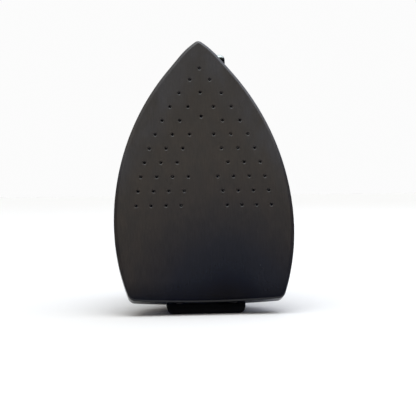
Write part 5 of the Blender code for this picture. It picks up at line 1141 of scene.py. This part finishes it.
def makeValve(values):
    at, needleAt = spot(*joinValues["valve"], 0), spot(*values["needle"])
    low, high = values["heights"]
    body = slab(boxOutline(*values["sides"], *values["ends"], values["corner"], 8), low, high)
    body = softened(body, values["rim"], 8, chosen=lambda first, second: max(first.z, second.z) < low + 0.1)
    body = softened(body, values["edge"], 3, 60)
    stepped = straight(values["portR"], 21, 26) + straight(1.4, 26, 27.2) + straight(4.2, 27.2, 40)
    aside = math.radians(values["inletTurn"])
    away = toHeel * math.cos(aside) + left * math.sin(aside)
    root = spot(values["inletAcross"], values["ends"][0], values["portHeight"])
    root += away * (5.2 * math.tan(aside) + gap)
    body = cut(body, drillShape([(at, up, stepped), (root, away, straight(values["inletR"], -3.8, 4)),
                                 (needleAt, left, straight(1.9, -1, 6.6))], 32))
    addPiece("valveBody", body, "valve_nickel", "valve_body")
    adapter = ((1.5, 10.5), (3, 10.5), (3, 20.3), (4.1, 20.3), (4.4, 20.6), (4.4, 21.6), (4.1, 21.9), (3, 21.9),
               (3, 25.7), (1.5, 25.7))
    addPiece("steamAdapter", turnedShape(adapter, at, closed=True), "brass", "steam_adapter")
    tube = ((0, 60.5), (4.2, 60.5), (4.2, 38.5), (7.7, 38.5), (8, 38.8), (8, 40.2), (7.7, 40.5), (5.1, 40.5),
            (5.1, 65.1), (4.5, 65.7), (2.5, 65.7), (2.5, 72.3), (2.1, 72.7), (0, 72.7))
    addPiece("coreTube", turnedShape(tube, at), "nickel", "core_tube")
    plunger = turnedShape(pinProfile(values["plungerR"], *values["plungerEnds"]), at, sides=40)
    addPiece("valvePlunger", plunger, "plate_steel", "valve_plunger", body="plunger")
    coil = slab(boxOutline(*values["coilSides"], *values["coilEnds"], 4, 8), *values["coilHeights"])
    coilWay = (at, up, straight(values["coilBore"], 40, 68))
    coil = cut(softened(coil, 1.2, 4, 60), drillShape([coilWay], 40))
    addPiece("solenoidCoil", coil, "black_plastic", "solenoid_coil")
    profile = rounded(((176.6, 40.8, 2.6), (201, 40.8, 0), (201, 42.4, 0), (178.2, 42.4, 1), (178.2, 65, 1),
                       (201, 65, 0), (201, 66.6, 0), (176.6, 66.6, 2.6)), 6)
    yoke = softened(sideSlab(profile, *values["yokeSides"]), 0.2, 1, 60)
    addPiece("coilYoke", cut(yoke, drillShape([coilWay], 40)), "plate_steel", "coil_yoke")
    nut = turnedShape(((0, 66.9), (4.5, 66.9), (5, 67.2), (5, 70.5), (4.5, 70.9), (0, 70.9)), at, sides=6)
    addPiece("coilNut", cut(nut, drillShape([(at, up, straight(2.8, 66, 72))])), "nickel", "coil_nut")
    stem, pitch = [(1.7, -3.5), (2.4, -3.5), (2.4, 3), (3, 3.4)], values["barbLength"] / values["barbs"]
    for number in range(values["barbs"]):
        start = 4 + pitch * number
        stem += [(3.0, start), (3.7, start + 1.0), (3.66, start + 1.15), (3.0, start + pitch - 0.05)]
    stem += [(2.8, 14), (1.7, 14)]
    barb = turnedShape(stem, root, away, closed=True)
    hexagon = turnedShape(((2.0, 0), (4.8, 0), (5.2, 0.4), (5.2, 3.6), (4.8, 4), (2.0, 4)), root, away, 6, True)
    addPiece("inletBarb", fuse(hexagon, barb), "brass", "inlet_barb")

    def knurled(radius, angle, height):
        wave = (0.5 + 0.5 * math.cos(values["flutes"] * angle)) ** 1.5
        return radius - values["flute"] * wave if radius > 4.7 else radius

    knob = ((0, -6), (1.6, -4.4), (1.6, 0), (5.1, 0), (5.5, 0.4), (5.5, 6.4), (4.9, 7), (0, 7))
    knob = turnedShape(knob, needleAt, right, 80, reachAt=knurled)
    groove = softened(slab(boxOutline(-6.5, -5.0, 196.6, 203.4), 29.7, 30.7), 0.05, 1, 60)
    addPiece("steamAdjuster", cut(knob, groove), "brass", "steam_adjuster", body="adjuster")


makeValve(valveValues)
print("steam valve made")


# temperature dial, its ring with ticks, and plain numbers
dialValues = {"along": 94.0, "low": 52.8, "radius": 25.0, "height": 9.0, "flutes": 24, "flute": 0.9,
              "numbers": ("1", "2", "3", "4", "5", "6"), "sweep": 280, "numberSize": 6.0, "numberR": 17.5,
              "numberDepth": 0.12, "shaftR": 3.0, "shaftLow": 32.0, "ringR": 28.5, "ringInnerR": 21.0,
              "ringLow": 50.3, "ringThick": 2.2}


def makeDial(values):
    at = spot(0, values["along"], values["low"])
    radius, tall = values["radius"], values["height"]

    def fluted(reach, angle, height):
        if reach < radius - 2.4:
            return reach
        share = 0.5 + 0.5 * math.cos(values["flutes"] * angle)
        return reach - values["flute"] * share ** 2

    edge = arc(radius - 1.5, tall - 1.5, 1.5, 0, quarter, 6)
    profile = [(0, tall - 3), (3.3, tall - 3), (3.3, 0), (radius - 0.5, 0), (radius, 0.5), *edge,
               (radius - 2.3, tall), (radius - 3, tall - 0.5), (12.3, tall - 0.5), (11.6, tall), (0, tall)]
    dial = turnedShape(profile, at, sides=192, reachAt=fluted)
    addPiece("temperatureDial", dial, "dial_plastic", "temperature_dial", body="dial")
    shaft = pinProfile(values["shaftR"], values["shaftLow"] - values["low"], 5.7)
    addPiece("dialShaft", turnedShape(shaft, at, sides=32), "screw_steel", "thermostat_shaft", body="dial")
    figures = bmesh.new()
    for index, word in enumerate(values["numbers"]):
        data = bpy.data.curves.new("figure", "FONT")
        data.body = word
        data.size = values["numberSize"]
        data.align_x = data.align_y = "CENTER"
        data.extrude = values["numberDepth"]
        item = bpy.data.objects.new("figure", data)
        bpy.context.collection.objects.link(item)
        bpy.context.view_layer.update()
        mesh = bpy.data.meshes.new_from_object(item.evaluated_get(bpy.context.evaluated_depsgraph_get()))
        bpy.data.objects.remove(item)
        turn = math.radians(values["sweep"] * (0.5 - index / (len(values["numbers"]) - 1)))
        mesh.transform(Matrix.Translation(at + Vector((0, 0, tall - 0.45))) @ Matrix.Rotation(turn, 4, "Z")
                       @ Matrix.Translation((0, values["numberR"], 0)))
        figures.from_mesh(mesh)
        bpy.data.meshes.remove(mesh)
    addPiece("dialNumbers", figures, "mark_white", body="dial")
    inner, outer, thick = values["ringInnerR"], values["ringR"], values["ringThick"]
    ring = ((inner, 0), (outer - 0.3, 0), (outer, 0.3), (outer, thick - 0.4), (outer - 0.4, thick),
            (inner + 0.3, thick), (inner, thick - 0.3))
    addPiece("dialRing", turnedShape(ring, spot(0, values["along"], values["ringLow"]), sides=96, closed=True),
             "plate_steel", "dial_ring")


def tickTree():
    # short bars on a circle, each turned to point at its middle
    tree, inputs, result = newTree("dialTicks", {"Radius": 27.0, "Length": 1.8, "Width": 0.5, "Depth": 0.2})
    size = inputs.outputs
    circle = addNode(tree, "GeometryNodeMeshCircle", Vertices=48, Radius=size["Radius"])
    bar = boxNode(tree, size["Length"], size["Width"], size["Depth"])
    where = addNode(tree, "GeometryNodeInputPosition")
    turn = addNode(tree, "FunctionNodeAlignRotationToVector", {"axis": "X"}, Vector=where.outputs[0])
    spread = addNode(tree, "GeometryNodeInstanceOnPoints", Points=circle.outputs[0], Instance=bar,
                     Rotation=turn.outputs[0])
    closeTree(tree, spread.outputs[0], inputs, result)
    return tree


def makeTicks(values):
    mesh = runTree(pointCarrier([(0, 0, 0)]), tickTree(), {"Material": finishes["mark_white"]})
    top = values["ringLow"] + values["ringThick"]
    mesh.transform(Matrix.Translation(spot(0, values["along"], top)))
    addMesh("dialTicks", mesh, "mark_white", "iron", [])


makeDial(dialValues)
makeTicks(dialValues)
print("dial made")

# screws: one tree makes every size
smallScrew = {"head": 3.2, "tall": 2.2, "shank": 1.6, "length": 8.0, "axis": up, "finish": "screw_steel"}
screwSets = {
    "shoeScrews": {**smallScrew, "tall": 0.9, "length": 9.0, "axis": toHeel, "finish": "black_screw",
                   "seats": shoeScrewPlaces(1.118),
                   "nodes": ("shoe_screw_left", "shoe_screw_right")},
    "plateScrews": {**smallScrew, "seats": plateScrewPlaces(23.7),
                    "nodes": ("cover_screw_1", "cover_screw_2", "cover_screw_3", "cover_screw_4")},
    "bracketScrews": {**smallScrew, "seats": bracketScrewPlaces(22.6),
                      "nodes": ("bracket_screw_left", "bracket_screw_right")},
    "heelScrews": {**smallScrew, "head": 3.6, "tall": 2.4, "shank": 2.0, "length": 8.6, "axis": toHeel,
                   "seats": heelScrewPlaces(8.1),
                   "nodes": ("heel_screw_left", "heel_screw_right")},
    "handleScrews": {**smallScrew, "length": 23.0, "axis": right,
                     "seats": [spot(-14.3, *place) for place in handleValues["screws"]],
                     "nodes": ("handle_screw_1", "handle_screw_2", "handle_screw_3")},
}


def screwTree():
    # pan head with a cross recess over a straight shank, on every point, along the point's own axis
    sizes = {"Head Radius": 3.2, "Head Height": 2.2, "Dome Radius": 5.0, "Shank Radius": 1.6,
             "Shank Length": 8.0, "Cross Length": 3.4, "Cross Width": 0.8, "Cross Depth": 1.2}
    tree, inputs, result = newTree("panScrews", sizes)
    size = inputs.outputs
    dome = addNode(tree, "GeometryNodeMeshUVSphere", Segments=40, Rings=40, Radius=size["Dome Radius"])
    dome = moved(tree, dome.outputs["Mesh"], worked(tree, "SUBTRACT", size["Head Height"], size["Dome Radius"]))
    rim = addNode(tree, "GeometryNodeMeshCylinder", Vertices=40, Radius=size["Head Radius"],
                  Depth=worked(tree, "MULTIPLY", size["Head Height"], 2.0))
    head = boolean(tree, "INTERSECT", Mesh=[dome, moved(tree, rim.outputs["Mesh"], size["Head Height"])])
    deep = worked(tree, "MULTIPLY", size["Cross Depth"], 2.0)
    bars = [moved(tree, boxNode(tree, size[long], size[short], deep), size["Head Height"])
            for long, short in (("Cross Length", "Cross Width"), ("Cross Width", "Cross Length"))]
    head = boolean(tree, "DIFFERENCE", Mesh_1=head, Mesh_2=bars)
    lap = 0.2
    shank = addNode(tree, "GeometryNodeMeshCylinder", Vertices=24, Radius=size["Shank Radius"],
                    Depth=worked(tree, "ADD", size["Shank Length"], lap))
    middle = worked(tree, "MULTIPLY", worked(tree, "SUBTRACT", size["Shank Length"], lap), -0.5)
    whole = boolean(tree, "UNION", Mesh=[head, moved(tree, shank.outputs["Mesh"], middle)])
    axis = addNode(tree, "GeometryNodeInputNamedAttribute", {"data_type": "FLOAT_VECTOR"}, Name="axis")
    turn = addNode(tree, "FunctionNodeAlignRotationToVector", {"axis": "Z"}, Vector=axis.outputs[0])
    spread = addNode(tree, "GeometryNodeInstanceOnPoints", Points=size["Geometry"], Instance=whole,
                     Rotation=turn.outputs[0])
    closeTree(tree, spread.outputs[0], inputs, result)
    return tree


def makeScrews(sets):
    tree = screwTree()
    for name, values in sets.items():
        head, tall, seats = values["head"], values["tall"], values["seats"]
        cap = tall * 0.65
        mesh = runTree(pointCarrier(seats, [values["axis"]] * len(seats)), tree, {
            "Head Radius": head, "Head Height": tall, "Dome Radius": (head ** 2 + cap ** 2) / (2 * cap),
            "Shank Radius": values["shank"], "Shank Length": values["length"], "Cross Length": head * 1.15,
            "Cross Width": head * 0.26, "Cross Depth": min(tall * 0.6, 1.3),
            "Material": finishes[values["finish"]]})
        addMesh(name, mesh, values["finish"], "iron", values["nodes"])


makeScrews(screwSets)
print("screws made:", len(screwSets), "sets")

# springs, wound by one tree
springSets = {
    "triggerSpring": {"radius": 2.0, "wire": 0.35, "turns": 4, "foot": (0, 116.5, 97.8), "length": 7.9,
                      "joint": "trigger_pull", "keep": 0.69, "node": "trigger_spring"},
    "plungerSpring": {"radius": 3.1, "wire": 0.4, "turns": 4, "foot": (*joinValues["valve"], 53.8),
                      "length": 6.4, "joint": "plunger_lift", "keep": 0.67, "node": "plunger_spring"},
}


def springTree():
    tree, inputs, result = newTree("woundSpring", {"Radius": 2.0, "Wire": 0.35, "Turns": 4.0, "Height": 7.0})
    size = inputs.outputs
    path = addNode(tree, "GeometryNodeCurveSpiral", Resolution=40, Rotations=size["Turns"],
                   Start_Radius=size["Radius"], End_Radius=size["Radius"], Height=size["Height"])
    wire = addNode(tree, "GeometryNodeCurvePrimitiveCircle", Resolution=12, Radius=size["Wire"])
    coil = addNode(tree, "GeometryNodeCurveToMesh", Curve=path.outputs[0], Profile_Curve=wire.outputs[0],
                   Fill_Caps=True)
    closeTree(tree, coil.outputs[0], inputs, result)
    return tree


def makeSprings(sets):
    tree = springTree()
    for name, values in sets.items():
        wire, length = values["wire"], values["length"]
        mesh = runTree(pointCarrier([(0, 0, 0)]), tree, {
            "Radius": values["radius"], "Wire": wire, "Turns": float(values["turns"]),
            "Height": length - 2 * wire, "Material": finishes["screw_steel"]})
        foot = spot(*values["foot"])
        mesh.transform(Matrix.Translation(foot + Vector((0, 0, wire))))
        spring = addMesh(name, mesh, "screw_steel", "iron", [values["node"]])
        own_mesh(spring)


makeSprings(springSets)
print("springs made:", len(springSets))


# nodes that stay as they are take the finish of their slot
def dressNodes():
    count = 0
    for entry in frame["record"]["subparts"]:
        node = nodes[entry["node"]]
        if not node.hide_render:
            node.data.materials.clear()
            node.data.materials.append(finishes[entry["material_slot"]])
            count += 1
    return count


print("carried-over nodes dressed:", dressNodes())
